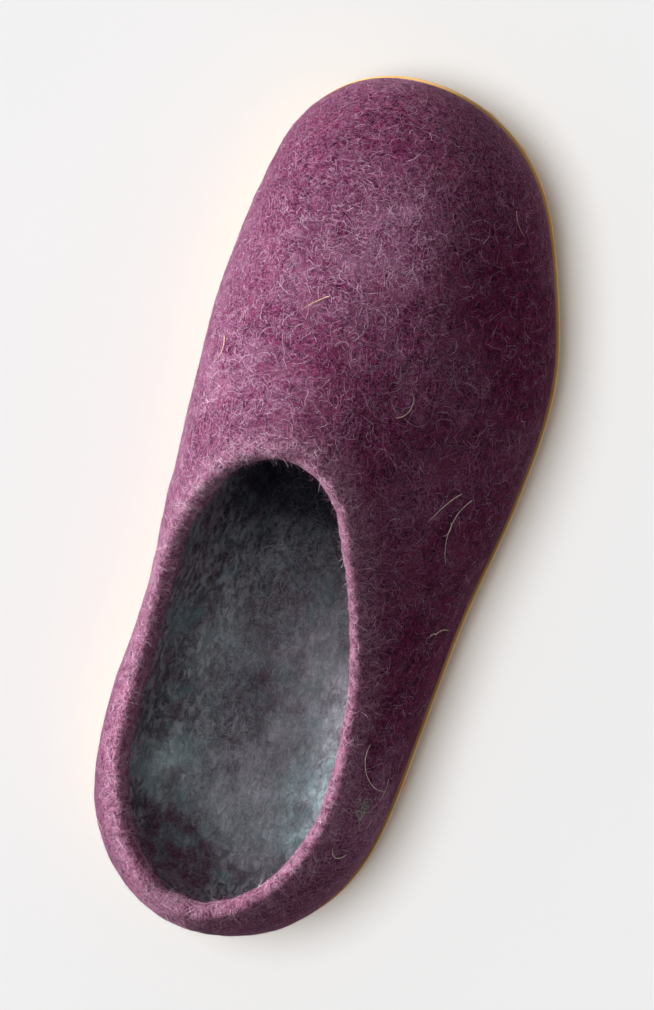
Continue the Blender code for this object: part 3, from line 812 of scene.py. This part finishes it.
def strip_material(rubber):
    pale = Finish("pale rubber", Specular_IOR_Level=0.35, Subsurface_Weight=0.15,
                  Subsurface_Scale=0.0015, Subsurface_Radius=(1.0, 0.6, 0.2))
    tone = pale.between(pale.noise(95.0, 3.0, 0.6), 0.35, 0.7, 0.0, 0.35)
    colour = pale.mix(tone, rubber.pale, rubber.honey)
    normal = pale.bump(pale.noise(700.0, 3.0, 0.6), 0.00012)
    rough = pale.between(pale.noise(240.0), 0.3, 0.7, 0.5, 0.68)
    return pale.finish(Base_Color=colour, Roughness=rough, Normal=normal)


def glue_material(rubber):
    glue = Finish("orange glue", Specular_IOR_Level=0.5, Coat_Weight=0.25, Coat_Roughness=0.22)
    tone = glue.between(glue.noise(260.0, 3.0), 0.35, 0.7, 0.0, 0.6)
    colour = glue.mix(tone, rubber.glue, [c * 0.45 for c in rubber.glue])
    return glue.finish(Base_Color=colour, Roughness=glue.between(glue.noise(400.0), 0.3, 0.7, 0.3, 0.5))


def fibre_material(name, tones):
    """Wool hairs: each hair's own number tone picks its colour from a row of colours."""
    wool = Finish(name, Roughness=0.85, Specular_IOR_Level=0.12)
    ramp = wool.add("ShaderNodeValToRGB")
    wool.feed(ramp.inputs["Fac"], wool.number("tone"))
    stops = ramp.color_ramp.elements
    while len(stops) < len(tones):
        stops.new(0.5)
    for k, tone in enumerate(tones):
        stops[k].position = k / (len(tones) - 1)
        stops[k].color = (*tone, 1.0)
    shade = wool.between(wool.noise(500.0, 2.0), 0.3, 0.7, 0.75, 1.15)
    scaled = wool.add("ShaderNodeVectorMath", operation="SCALE")
    wool.feed(scaled.inputs[0], ramp.outputs["Color"])
    wool.feed(scaled.inputs["Scale"], shade)
    return wool.finish(Base_Color=scaled.outputs["Vector"])


def relieved_wall(rim, rows):
    """Outer and inner faces of the felt with its unevenness, as grids of rings, and their normals.

    Outer face: the felt wall moved along its normal by w(t) (0.22 mm a + 0.11 mm b - c), where a and b
    are swells of 22 to 55 mm and 5 to 11 mm, c the listed creases, and w(t) fades at the rim.
    Inner face: the felt wall moved inwards by the felt's thickness, less lumps of 5 to 10 and 14 to
    30 mm, and thicker by ROLL exp(-(d / ROLL_HEIGHT)^2) at a height d below the collar.
    """
    shape = rim.shape
    wall = rim.felt_wall(rows)
    normals = face_normals(wall)
    t = np.linspace(0.0, 1.0, rows)[:, None]
    fade = ease(t / 0.12)
    broad, fine = OUTER_SWELL
    outside = broad * swell(wall, 3, 0.022, 0.055) + fine * swell(wall, 5, 0.005, 0.011) - creases(wall)
    fine, broad = INNER_SWELL
    lumps = fine * swell(wall, 8, 0.005, 0.010) + broad * swell(wall, 9, 0.014, 0.030)
    outer = wall + normals * (outside * fade)[..., None]
    below = (wall[-1:, :, 2] - wall[..., 2]) / ROLL_HEIGHT
    roll = ROLL * np.exp(-(below**2))
    inner = wall - normals * (shape.felt + roll - lumps * fade)[..., None]
    return outer, inner, normals


def felt_grids(rim):
    """Rings of the whole felt shell from the turned-in edge underneath, over the collar, and back."""
    shape = rim.shape
    outer, inner, normals = relieved_wall(rim, WALL_ROWS)
    low = [rim.ring(shape.turned_in, shape.lug_height + rim.felt_depth(0.0))]
    low += rim.bowl(rim.felt_depth, BOWL_ANGLES)
    low.append(rim.ring(rim.felt_depth(math.pi / 2), shape.rim_height + shape.clearance))
    middle = (outer[-1] + inner[-1]) / 2.0
    half = (outer[-1] - inner[-1]) / 2.0
    rise = outer[-1] - outer[-3]
    rise = rise - normals[-1] * np.sum(rise * normals[-1], axis=1, keepdims=True)
    rise = unit(rise) * shape.felt / 2.0
    turn = np.linspace(0.0, math.pi, 14)[1:-1, None, None]
    lip = middle + half * np.cos(turn) + rise * np.sin(turn)
    lip = lip + unit(lip - middle) * (LIP_SWELL * swell(lip, 12, 0.004, 0.009))[..., None]
    keep = int(WALL_ROWS * 0.2)
    back = rim.bowl(rim.floor_depth, np.radians([70, 66, 60, 52, 45, 22, 0]))
    back.append(rim.ring(shape.turned_in, shape.lug_height + rim.floor_depth(0.0)))
    return np.array(low), outer, lip, inner[:keep:-1], np.array(back)


def wool_shares(points):
    """Named shares of the listed wools at each point."""
    return {name: patches(points, *wool) for name, wool in WOOLS.items()}


def collar_distance(outer, lip, inner):
    """Way over the felt from each point to the collar's top, one grid for the three grids joined."""
    rise = np.linalg.norm(np.diff(outer[::-1], axis=0), axis=2)
    fall = np.linalg.norm(np.diff(inner, axis=0), axis=2)
    nothing = np.zeros((1, outer.shape[1]))
    up = np.concatenate([nothing, np.cumsum(rise, axis=0)])[::-1]
    down = np.concatenate([nothing, np.cumsum(fall, axis=0)])
    return np.concatenate([up, np.zeros(lip.shape[:2]), down])


class SLIPPER_OT_felt_body(bpy.types.Operator):
    """Felt upper: one hollow shell with its unevenness, soft creases and rounded collar"""

    bl_idname = "slipper.felt_body"
    bl_label = "Felt upper"

    def execute(self, context):
        shape, felt, _ = settings()
        rim = Rim(COLUMNS, shape)
        low, outer, lip, inner, back = felt_grids(rim)
        rings = np.concatenate([low, outer, lip, inner, back])
        collar = np.concatenate([outer, lip, inner])
        away = collar_distance(outer, lip, inner)
        first = len(low) + len(outer) + len(lip)
        inside = np.zeros(rings.shape[:2])
        inside[first:] = 1.0
        start = INSIDE_START + INSIDE_START_MORE * ease(rim.side * np.sin(rim.theta))
        inside[first : first + len(inner)] = ease((away[-len(inner) :] - start) / INSIDE_BLEND)
        # The number lip: a paler band at the collar's top, painted highlight where its fuzz catches the
        # light.
        band = np.zeros(rings.shape[:2])
        ragged = 1.0 + 0.25 * swell(collar, 57, 0.004, 0.012)
        band[len(low) : len(low) + len(collar)] = np.exp(-((away / (LIP_HIGHLIGHT * ragged)) ** 2))
        shell = Shell(shape)
        shell.grid(rings, joined=True, inside=inside, lip=band, **wool_shares(rings))
        place(shell.mesh("felt_body"), felt_material(felt), "plum_felt", "felt_upper")
        return {"FINISHED"}


def footbed_grids(rim):
    """Rings of the footbed from its underside over its edge, and the grid of its top inside them.

    The edge is a feather edge at FEATHER_ANGLE on the side's ellipse. From there the top falls to its
    level as (1 - k)^2.4 over SLOPE; across the slipper it is dished by DISH (1 - w^2)^2.
    """
    shape = rim.shape

    def depth(angle):
        gap = shape.clearance * (1.0 - 2.6 * float(ease((math.degrees(angle) - 30.0) / 25.0)))
        return rim.floor_depth(angle) + gap

    edge = math.radians(FEATHER_ANGLE)
    low = shape.lug_height + rim.felt_depth(0.0)
    inset, high = rim.side_point(edge, depth(edge))
    turn = math.radians(LEVEL_ANGLE)
    level = rim.side_point(turn, rim.floor_depth(turn) + shape.clearance)[1]
    rings = [rim.ring(shape.turned_in + shape.clearance, low)]
    rings.append(rim.ring(shape.turned_in + shape.clearance, shape.lug_height + depth(0.0)))
    rings += rim.bowl(depth, np.linspace(0.0, edge, 14))
    for share in np.linspace(0.0, 1.0, 12)[1:]:
        rings.append(rim.ring(inset + SLOPE * share, level + (high - level) * (1.0 - share) ** 2.4))
    top = rim.cap(rings[-1], 72, level)
    across = np.linspace(-1.0, 1.0, top.shape[1])[None, :]
    dish = DISH * (1.0 - across**2) ** 2
    fine, broad = INNER_SWELL
    lumps = fine * swell(top, 21, 0.006, 0.012) + broad * swell(top, 22, 0.018, 0.040)
    top[..., 2] += (lumps - dish) * ease((1.0 - np.abs(across)) / 0.1)
    return np.array(rings), top, rim.cap(rings[0], 4, low)


class SLIPPER_OT_footbed(bpy.types.Operator):
    """Felt footbed: it fills the opening in the turned-in felt and covers its edge"""

    bl_idname = "slipper.footbed"
    bl_label = "Footbed"

    def execute(self, context):
        shape, felt, _ = settings()
        shell = Shell(shape)
        rings, top, bottom = footbed_grids(Rim(FOOTBED_COLUMNS, shape))
        shell.grid(rings, **wool_shares(rings))
        for grid in (bottom, top):
            shell.grid(grid, around=False, **wool_shares(grid))
        place(shell.mesh("footbed"), footbed_material(felt), "grey_felt", "felt_insole")
        return {"FINISHED"}


def tread_pattern(shape, points, inset):
    """Height of the tread at points seen from above, and where it is grained, as shares from 0 to 1.

    Two families of grooves cross: u is the distance to the nearest middle line of each, and a block
    rises as sin(pi/2 clip((u - g/2) / r)). Smooth plates stand in the waist, with a narrow groove
    around each. The pattern fades into the plain band along the rim.
    """
    middle = np.array([shape.length / 2.0, 0.0])
    block = np.ones(points.shape[:-1])
    for pitch, degrees in zip((shape.rising_pitch, shape.falling_pitch), GROOVE_ANGLES):
        angle = math.radians(degrees)
        line = (points[..., :2] - middle) @ np.array([-math.sin(angle), math.cos(angle)])
        u = np.abs(line - pitch * np.round(line / pitch)) - shape.groove / 2.0
        share = np.clip((u + BLOCK_OVER) / BLOCK_ROUND, 0.0, 1.0)
        block = np.minimum(block, np.sin(math.pi / 2.0 * share))
    grained = ease((block - 0.6) / 0.35)
    for x, y, long, wide in PLATES:
        beyond_x = np.abs(points[..., 0] - x) - long / 2.0
        beyond_y = np.abs(points[..., 1] - y) - wide / 2.0
        beyond = np.maximum(beyond_x, beyond_y)
        plate = np.clip(0.5 - beyond / PLATE_ROUND, 0.0, 1.0)
        near = beyond < PLATE_BORDER
        block = np.where(near, np.sin(math.pi / 2.0 * plate), block)
        grained = np.where(near, 0.0, grained)
    fade = ease((inset - shape.plain_band + 0.0008) / 0.0022)
    return block * fade, grained * fade, ease((inset - shape.plain_band + 0.002) / 0.003)


class SLIPPER_OT_sole(bpy.types.Operator):
    """Rubber cup of the sole with its smooth side band, rounded diamond blocks and plates"""

    bl_idname = "slipper.sole"
    bl_label = "Sole"

    def execute(self, context):
        shape, _, rubber = settings()
        step = TREAD_STEP * 1
        rim = Rim(2 * round(0.31 / step), shape)
        rise = shape.rim_height - shape.lug_height
        steps = np.arange(0.0005, shape.side_width, step)
        insets = np.concatenate([[0.0, 0.00002, 0.0001, 0.00025], steps, [shape.side_width]])
        upright = 1.0 - insets / shape.side_width
        heights = shape.lug_height + rise * (1.0 - np.sqrt(1.0 - upright**2))
        top = shape.rim_height - shape.midsole_edge - shape.clearance
        outside = [rim.ring(0.0, top)]
        for inset, height in zip(insets[1:], heights[1:]):
            outside.append(rim.ring(inset, min(height, top)))
        outside = np.array(outside)
        depth = np.concatenate([[0.0], insets[1:]])[:, None]
        pattern = tread_pattern(shape, outside, np.broadcast_to(depth, outside.shape[:2]))
        outside[..., 2] -= shape.lug_height * pattern[0]
        cells = 84
        flat = rim.cap(rim.ring(shape.side_width, shape.lug_height), cells, shape.lug_height)
        below = tread_pattern(shape, flat, np.full(flat.shape[:2], shape.side_width))
        flat[..., 2] -= shape.lug_height * below[0]
        inside = [rim.ring(shape.rim_thickness, top)]
        inside += rim.bowl(rim.base_depth, BOWL_ANGLES[::-1])
        shell = Shell(shape)
        rings = np.concatenate([np.array(inside)[::-1], outside])
        shell.grid(rings, **self.marks(pattern, len(inside)))
        shell.grid(flat, around=False, block=below[0], grained=below[1], tread=below[2])
        last = rim.cap(inside[-1], 4, shape.lug_height + shape.base_thickness)
        shell.grid(last, around=False, block=0.0, grained=0.0, tread=0.0)
        place(shell.mesh("sole_cup"), rubber_material(rubber), "honey_rubber", "outsole")
        return {"FINISHED"}

    @staticmethod
    def marks(pattern, count):
        """The three numbers of the tread for the rings, none of them on the inside of the cup."""
        bare = np.zeros((count, pattern[0].shape[1]))
        names = ("block", "grained", "tread")
        return {name: np.concatenate([bare, values]) for name, values in zip(names, pattern)}


class SLIPPER_OT_midsole(bpy.types.Operator):
    """Pale rubber layer, whose edge shows as a strip under the felt, and the line of glue below it"""

    bl_idname = "slipper.midsole"
    bl_label = "Midsole and glue line"

    def execute(self, context):
        shape, _, rubber = settings()
        self.strip(Rim(COLUMNS, shape), rubber)
        self.glue(Rim(2 * COLUMNS, shape), rubber)
        return {"FINISHED"}

    def strip(self, rim, rubber):
        """A thin bowl whose edge turns out over the outsole; the strip's face bulges by 0.4 mm."""
        shape = rim.shape
        upper = rim.midsole_depth(math.pi / 2) + shape.midsole_thickness
        low = shape.rim_height - shape.midsole_edge
        rings = rim.bowl(rim.midsole_depth, BOWL_ANGLES)
        rings.append(rim.ring(rim.midsole_depth(math.pi / 2), low))
        for turn in np.linspace(-math.pi / 2, math.pi / 2, 9):
            height = low + shape.midsole_edge / 2.0 * (1.0 + math.sin(turn))
            rings.append(rim.ring(0.00015 - 0.0004 * math.cos(turn), height))
        rings.append(rim.ring(upper, shape.rim_height))
        rings += rim.bowl(lambda a: rim.midsole_depth(a) + shape.midsole_thickness, BOWL_ANGLES[::-1])
        shell = Shell(shape)
        shell.grid(np.array(rings))
        first = shape.lug_height + rim.midsole_depth(0.0)
        shell.grid(rim.cap(rings[0], 4, first), around=False)
        shell.grid(rim.cap(rings[-1], 4, first + shape.midsole_thickness), around=False)
        place(shell.mesh("midsole_edge"), strip_material(rubber), "pale_rubber", "midsole")

    def glue(self, rim, rubber):
        """A bead round the rim: circles of radius 0.36 mm (1 + 0.45 lumps) + 1.1 mm drops."""
        shape = rim.shape
        height = shape.rim_height - shape.midsole_edge - shape.clearance / 2.0
        middle = rim.ring(0.0, height)
        lumps = swell(middle, 31, 0.004, 0.02)
        drops = np.clip(swell(middle, 33, 0.006, 0.03) - 0.75, 0.0, 1.0)
        radius = 0.00036 * (1.0 + 0.45 * lumps) + 0.0011 * drops
        rings = []
        for turn in np.linspace(0.0, 2 * math.pi, 9)[:-1]:
            ring = middle.copy()
            ring[:, :2] = rim.points - rim.normals * (0.00022 - radius * math.cos(turn))[:, None]
            ring[:, 2] += radius * math.sin(turn)
            rings.append(ring)
        shell = Shell(shape)
        shell.grid(np.array(rings), joined=True)
        place(shell.mesh("glue_line"), glue_material(rubber), "pale_rubber")


class Lawn:
    """A face of the felt as a grid on which hairs lie, with points and normals between its rings."""

    def __init__(self, grid, middle, around=True):
        self.around = around
        self.grid = (np.concatenate([grid, grid[:, :1]], axis=1) if around else grid) - middle
        self.down, self.across = np.gradient(self.grid, axis=0), np.gradient(self.grid, axis=1)
        upward = np.cross(self.down, self.across)
        self.normals = unit(upward)
        self.area = np.linalg.norm(upward, axis=2)[:-1, :-1]

    def at(self, field, v, u):
        """Field between grid points: row v, column u, joined round the last column."""
        rows, columns = self.grid.shape[0] - 1, self.grid.shape[1] - 1
        v = np.clip(v, 0.0, rows - 1e-6)
        u = np.mod(u, columns) if self.around else np.clip(u, 0.0, columns - 1e-6)
        i, j = v.astype(int), u.astype(int)
        a, b = (v - i)[..., None], (u - j)[..., None]
        low = field[i, j] * (1 - b) + field[i, j + 1] * b
        return low * (1 - a) + (field[i + 1, j] * (1 - b) + field[i + 1, j + 1] * b) * a

    def stride(self, v, u, up, heading):
        """Rows and columns for each metre of way in a heading over the face.

        The way w = cos(h) e + sin(h) (n x e), with e along the column, equals dv a + du b, where a and
        b are the steps between rows and columns; dv and du solve that pair of equations.
        """
        a, b = self.at(self.down, v, u), self.at(self.across, v, u)
        e = unit(a)
        way = np.cos(heading)[:, None] * e + np.sin(heading)[:, None] * np.cross(up, e)
        aa, ab, bb = (a * a).sum(1), (a * b).sum(1), (b * b).sum(1)
        wa, wb = (way * a).sum(1), (way * b).sum(1)
        scale = np.maximum(aa * bb - ab**2, 1e-3 * aa * bb + 1e-20)
        return (wa * bb - wb * ab) / scale, (wb * aa - wa * ab) / scale

    def scatter(self, rng, count, weight=None):
        """Random places, evenly spread over the area, or as a weight at each point says."""
        share = self.area if weight is None else self.area * weight[:-1, : self.area.shape[1]]
        total = np.cumsum(share.ravel())
        cell = np.searchsorted(total, rng.uniform(0.0, total[-1], count))
        i, j = np.unravel_index(np.minimum(cell, self.area.size - 1), self.area.shape)
        return i + rng.uniform(0.0, 1.0, count), j + rng.uniform(0.0, 1.0, count)

    def nearest(self, spots):
        """Rows and columns of the grid points nearest to some spots."""
        gap = np.linalg.norm(self.grid[None] - spots[:, None, None, :], axis=3).reshape(len(spots), -1)
        i, j = np.unravel_index(gap.argmin(axis=1), self.grid.shape[:2])
        return i.astype(float), j.astype(float)


def lay_hairs(lawn, rng, v, u, length, radius, lift, loose, steps=4, curl=1.5, heading=None,
              bend=None):
    """Ribbons that follow the felt: paths of rows and columns, then points to both sides of them.

    A hair starts at (v, u) with a heading that drifts along its way; step by step it moves by
    length / steps over the face. Its height above the face is lift + loose t^2, and its half width
    radius sqrt(1.02 - t^2) narrows to its tip. Returns points (hair, step, side, 3) without the hairs
    that were torn where the grid narrows to a point, and which hairs are whole.
    """
    count = len(v)
    heading = rng.uniform(0.0, 2.0 * np.pi, count) if heading is None else heading
    bend = rng.normal(0.0, curl, count) if bend is None else bend
    path, ups = [], []
    for k in range(steps + 1):
        path.append(lawn.at(lawn.grid, v, u))
        ups.append(lawn.at(lawn.normals, v, u))
        step_v, step_u = lawn.stride(v, u, ups[-1], heading)
        v, u = v + step_v * length / steps, u + step_u * length / steps
        heading = heading + (bend + rng.normal(0.0, curl * 0.5, count)) / steps
    path, ups = np.stack(path, axis=1), np.stack(ups, axis=1)
    t = np.linspace(0.0, 1.0, steps + 1)[None, :, None]
    path = path + ups * (lift[:, None, None] + loose[:, None, None] * t**2)
    along = unit(np.gradient(path, axis=1))
    side = unit(np.cross(ups, along))
    half = radius[:, None, None] * np.sqrt(np.clip(1.02 - t**2, 0.0, 1.0))
    longest = np.linalg.norm(np.diff(path, axis=1), axis=2).max(axis=1)
    whole = longest < 2.0 * length / steps + loose
    return np.stack([path - side * half, path + side * half], axis=2)[whole], whole


def hair_mesh(name, hairs, tone):
    """Joined ribbons; hairs is an array (hair, step, side, 3), tone one number for each hair."""
    count, steps = hairs.shape[:2]
    index = np.arange(count * steps * 2).reshape(count, steps, 2)
    quads = np.stack([index[:, :-1, 0], index[:, 1:, 0], index[:, 1:, 1], index[:, :-1, 1]], axis=2)
    mesh = fill_mesh(name, hairs.reshape(-1, 3), quads.reshape(-1, 4))
    add_numbers(mesh, "tone", np.repeat(tone, steps * 2))
    mesh.shade_smooth()
    return mesh


class SLIPPER_OT_wool_hairs(bpy.types.Operator):
    """Fine wool hairs on the outside, on the collar and inside"""

    bl_idname = "slipper.wool_hairs"
    bl_label = "Wool hairs"

    def execute(self, context):
        shape, self.felt, _ = settings()
        felt, self.middle = self.felt, origin(shape)
        _, outer, lip, inner, _ = felt_grids(Rim(COLUMNS, shape))
        thin = 1.0
        pinks = (0.155, 0.035, 0.090), felt.lilac, (0.62, 0.45, 0.55)
        plum = fibre_material("plum wool hairs", (felt.deep, felt.plum, *pinks)), "plum_felt"
        greys = (0.38, 0.42, 0.46), (0.52, 0.56, 0.60), (0.70, 0.70, 0.74)
        slate = fibre_material("grey wool hairs", ((0.05, 0.05, 0.07), felt.slate, *greys)), "grey_felt"
        half = int(felt.outer_count * thin / 2)
        # Hairs are lighter in the pale patches, partly painted highlight, and darker in the red ones,
        # partly painted shade.
        outside = {"frost": 0.15, "wine": -0.24}
        # Inside, hairs are lighter in the ash patches, darker in the mauve ones, and darker in the
        # painted throat shade.
        inside = {"ash": 0.22, "mauve": -0.5, "night": -0.6}
        self.cover("outer_hairs_long", outer[2:], 41, half, plum, tints=outside)
        self.cover("outer_hairs_short", outer[2:], 44, half, plum, 0.6, tints=outside, scale=0.6)
        self.collar_hairs(outer, lip, inner, int(felt.edge_count * thin), plum)
        count = int(felt.inner_count * thin)
        self.cover("inner_hairs", inner, 43, count, slate, 1.4, tints=inside, pale=0.35)
        top = footbed_grids(Rim(FOOTBED_COLUMNS, shape))[1][2:-2, -2:0:-1]
        open_part = 0.3 + 0.7 * ease((0.165 - top[..., 0]) / 0.02)
        self.cover("footbed_hairs", top, 45, int(0.8 * count), slate, 1.4, tints=inside,
                   near=open_part, around=False, pale=0.35)
        return {"FINISHED"}

    def collar_hairs(self, outer, lip, inner, count, plum):
        """Hairs near the collar's top, and curls that stray over its inner side at the throat."""
        edge = np.concatenate([outer, lip, inner])
        near = np.exp(-((collar_distance(outer, lip, inner) / 0.0045) ** 2))
        # The collar's hairs are lighter in tone: painted highlight of its fuzz.
        self.cover("edge_hairs", edge, 42, count, plum, 2.4, scale=0.8, tint=0.22, near=near)
        near = near * np.repeat([0.05, 1.0], [len(outer), len(lip) + len(inner)])[:, None]
        x, y = edge[..., 0], edge[..., 1]
        throat = np.exp(-(((x - 0.128) / 0.024) ** 2) - ((y - 0.022) / 0.022) ** 2)
        near = near * (0.25 + 4.0 * throat)
        self.cover("stray_hairs", edge, 46, count // 7, plum, 2.6, tint=0.4, near=near,
                   curl=4.5, stand=1.2)

    def cover(self, name, grid, seed, count, material, fuzz=1.0, tints=(), scale=1.0, tint=0.0,
              near=None, around=True, curl=1.8, pale=0.20, stand=4.0):
        """Hairs over a grid. fuzz is how far they stand out, tints how much a wool changes their tone.

        A share pale of them is pale. In the deeper red wool, which is partly painted shade along the dark
        outer side, these change their tone by half as much, and are up to 1.3 times as thick, because it
        lies on the dark side.
        """
        rng = np.random.default_rng(seed)
        lawn = Lawn(grid, self.middle, around)
        v, u = lawn.scatter(rng, count, near)
        length = self.felt.fibre_length * scale * rng.uniform(0.45, 1.9, count)
        radius = self.felt.fibre_radius * rng.uniform(0.6, 1.3, count)
        radius *= 1.0 + 0.9 * rng.uniform(0.0, 1.0, count) ** 8
        lift = rng.uniform(0.00002, 0.00016, count)
        loose = fuzz * 0.0009 * rng.uniform(0.0, 1.0, count) ** stand
        few = rng.uniform(0.0, 1.0, count) < pale
        tone = np.where(few, rng.uniform(0.6, 1.0, count), rng.beta(1.6, 2.6, count)) + tint
        light = tone > 0.6
        roots = lawn.at(lawn.grid, v, u) + self.middle
        for wool in tints:
            patch = patches(roots, *WOOLS[wool])
            strong = light & (wool == "wine")
            tone += tints[wool] * np.where(strong, 0.5, 1.0) * patch
            radius *= 1.0 + 0.3 * strong * patch
        hairs, whole = lay_hairs(lawn, rng, v, u, length, radius, lift, loose, curl=curl)
        place(hair_mesh(name, hairs, np.clip(tone, 0.0, 1.0)[whole]), *material)


class SLIPPER_OT_loose_hairs(bpy.types.Operator):
    """A few long pale hairs that lie on the felt, and a small tuft of lint"""

    bl_idname = "slipper.loose_hairs"
    bl_label = "Loose hairs"

    def execute(self, context):
        shape, felt, _ = settings()
        middle = origin(shape)
        lawn = Lawn(felt_grids(Rim(COLUMNS, shape))[1], middle)
        rng = np.random.default_rng(61)
        browns = (0.30, 0.14, 0.06), (0.45, 0.28, 0.16)
        hair = fibre_material("cream hairs", (*browns, felt.cream, (0.80, 0.70, 0.60)))
        self.lay("loose_hairs", lawn, rng, np.array(LOOSE_HAIRS), middle, 0.00011, hair)
        spot, spread = LINT
        count = 34
        places = rng.normal(spot, spread, (count, 3))
        turns, tones = rng.uniform(0.0, 360.0, count), rng.uniform(0.0, 1.0, count)
        lengths, bends = rng.uniform(0.003, 0.006, count), rng.normal(0.0, 3.0, count)
        rows = np.column_stack([places, turns, lengths, bends, tones])
        greens = (0.16, 0.18, 0.15), (0.34, 0.39, 0.32), (0.58, 0.63, 0.54)
        self.lay("lint_tuft", lawn, rng, rows, middle, 0.00004, fibre_material("grey lint", greens))
        return {"FINISHED"}

    def lay(self, name, lawn, rng, rows, middle, radius, material):
        """Hairs from rows of root, direction, length, bend and tone."""
        v, u = lawn.nearest(rows[:, :3] - middle)
        radius, lift, loose = (np.full(len(rows), size) for size in (radius, 0.00035, 0.0009))
        turns = np.radians(rows[:, 3])
        hairs, whole = lay_hairs(lawn, rng, v, u, rows[:, 4], radius, lift, loose, steps=24,
                                 curl=0.5, heading=turns, bend=rows[:, 5])
        place(hair_mesh(name, hairs, rows[whole, 6]), material, "plum_felt")


class SLIPPER_OT_stage(bpy.types.Operator):
    """Pale floor with its own light, large light from the inner side, weak fill and the camera"""

    bl_idname = "slipper.stage"
    bl_label = "Floor, light and camera"

    def execute(self, context):
        stage = context.scene.slipper_stage
        floor = self.floor(stage)
        shown = bpy.data.collections.new("slipper pieces")
        for piece in context.scene.objects:
            if piece.type == "MESH" and piece != floor:
                shown.objects.link(piece)
        ground = bpy.data.collections.new("ground")
        ground.objects.link(floor)
        for name, spot, size, power, on_slipper in LIGHTS:
            self.light(name, spot, size, getattr(stage, power), shown if on_slipper else ground)
        world = bpy.data.worlds.new("White room")
        world.use_nodes = True
        background = world.node_tree.nodes["Background"]
        background.inputs["Color"].default_value = (1.0, 1.0, 1.0, 1.0)
        background.inputs["Strength"].default_value = stage.sky
        context.scene.world = world
        context.scene.view_settings.view_transform = "Standard"
        self.camera(context.scene)
        return {"FINISHED"}

    def floor(self, stage):
        mesh = bpy.data.meshes.new("floor")
        reach = 4.0
        corners = [(x * reach, y * reach, 0.0) for x, y in ((-1, -1), (1, -1), (1, 1), (-1, 1))]
        mesh.from_pydata(corners, [], [(0, 1, 2, 3)])
        paper = Finish("pale paper", Roughness=0.9, Specular_IOR_Level=0.1)
        tone = paper.between(paper.noise(9.0, 2.0), 0.3, 0.7)
        colour = paper.mix(tone, [c * 0.995 for c in stage.floor], stage.floor)
        mesh.materials.append(paper.finish(Base_Color=colour))
        floor = bpy.data.objects.new("floor", mesh)
        bpy.context.scene.collection.objects.link(floor)
        return floor

    def light(self, name, spot, size, power, lit):
        """Round area light that looks at the slipper and lights one collection."""
        data = bpy.data.lights.new(name, "AREA")
        data.shape = "DISK"
        data.size = size
        data.energy = power
        lamp = bpy.data.objects.new(name, data)
        lamp.location = spot
        lamp.rotation_euler = (-Vector(spot)).to_track_quat("-Z", "Y").to_euler()
        bpy.context.scene.collection.objects.link(lamp)
        lamp.light_linking.receiver_collection = lit

    def camera(self, scene):
        """The photograph's angle: turned in the picture, rolled over the long axis and pitched."""
        turn, roll, pitch = (math.radians(a) for a in CAMERA_ANGLES)
        sr, cr, sp, cp = math.sin(roll), math.cos(roll), math.sin(pitch), math.cos(pitch)
        long_axis, cross_axis = Vector((cp, sp * sr, sp * cr)), Vector((0.0, cr, -sr))
        right = long_axis * math.sin(turn) - cross_axis * math.cos(turn)
        up = long_axis * math.cos(turn) + cross_axis * math.sin(turn)
        back = Vector((-sp, cp * sr, cp * cr))
        target = Vector(CAMERA_TARGET) + right * CAMERA_SHIFT[0] + up * CAMERA_SHIFT[1]
        data = bpy.data.cameras.new("Camera")
        data.sensor_fit = "VERTICAL"
        data.sensor_height = 36.0
        data.lens = CAMERA_LENS
        data.clip_start = 0.01
        camera = bpy.data.objects.new("Camera", data)
        turned = Matrix((right, up, back)).transposed()
        camera.matrix_world = Matrix.Translation(target + back * CAMERA_DISTANCE) @ turned.to_4x4()
        scene.collection.objects.link(camera)
        scene.camera = camera


class SLIPPER_PT_panel(bpy.types.Panel):
    bl_label = "Slipper"
    bl_idname = "SLIPPER_PT_panel"
    bl_space_type = "VIEW_3D"
    bl_region_type = "UI"
    bl_category = "Slipper"

    def draw(self, context):
        for operator in OPERATORS:
            self.layout.operator(operator.bl_idname)
        for name in SETTINGS:
            box = self.layout.box()
            group = getattr(context.scene, name)
            for prop in group.__annotations__:
                box.prop(group, prop)


OPERATORS = (
    SLIPPER_OT_felt_body,
    SLIPPER_OT_footbed,
    SLIPPER_OT_sole,
    SLIPPER_OT_midsole,
    SLIPPER_OT_wool_hairs,
    SLIPPER_OT_loose_hairs,
    SLIPPER_OT_stage,
)
SETTINGS = {
    "slipper_shape": SlipperShape,
    "slipper_felt": SlipperFelt,
    "slipper_rubber": SlipperRubber,
    "slipper_stage": SlipperStage,
}


def register():
    for group in (*SETTINGS.values(), *OPERATORS, SLIPPER_PT_panel):
        bpy.utils.register_class(group)
    for name, group in SETTINGS.items():
        setattr(bpy.types.Scene, name, bpy.props.PointerProperty(type=group))


def unregister():
    for name in SETTINGS:
        delattr(bpy.types.Scene, name)
    for group in (SLIPPER_PT_panel, *reversed(OPERATORS), *reversed(SETTINGS.values())):
        bpy.utils.unregister_class(group)


def main():
    register()
    for operator in OPERATORS:
        family, name = operator.bl_idname.split(".")
        getattr(getattr(bpy.ops, family), name)()


if __name__ == "__main__":
    main()
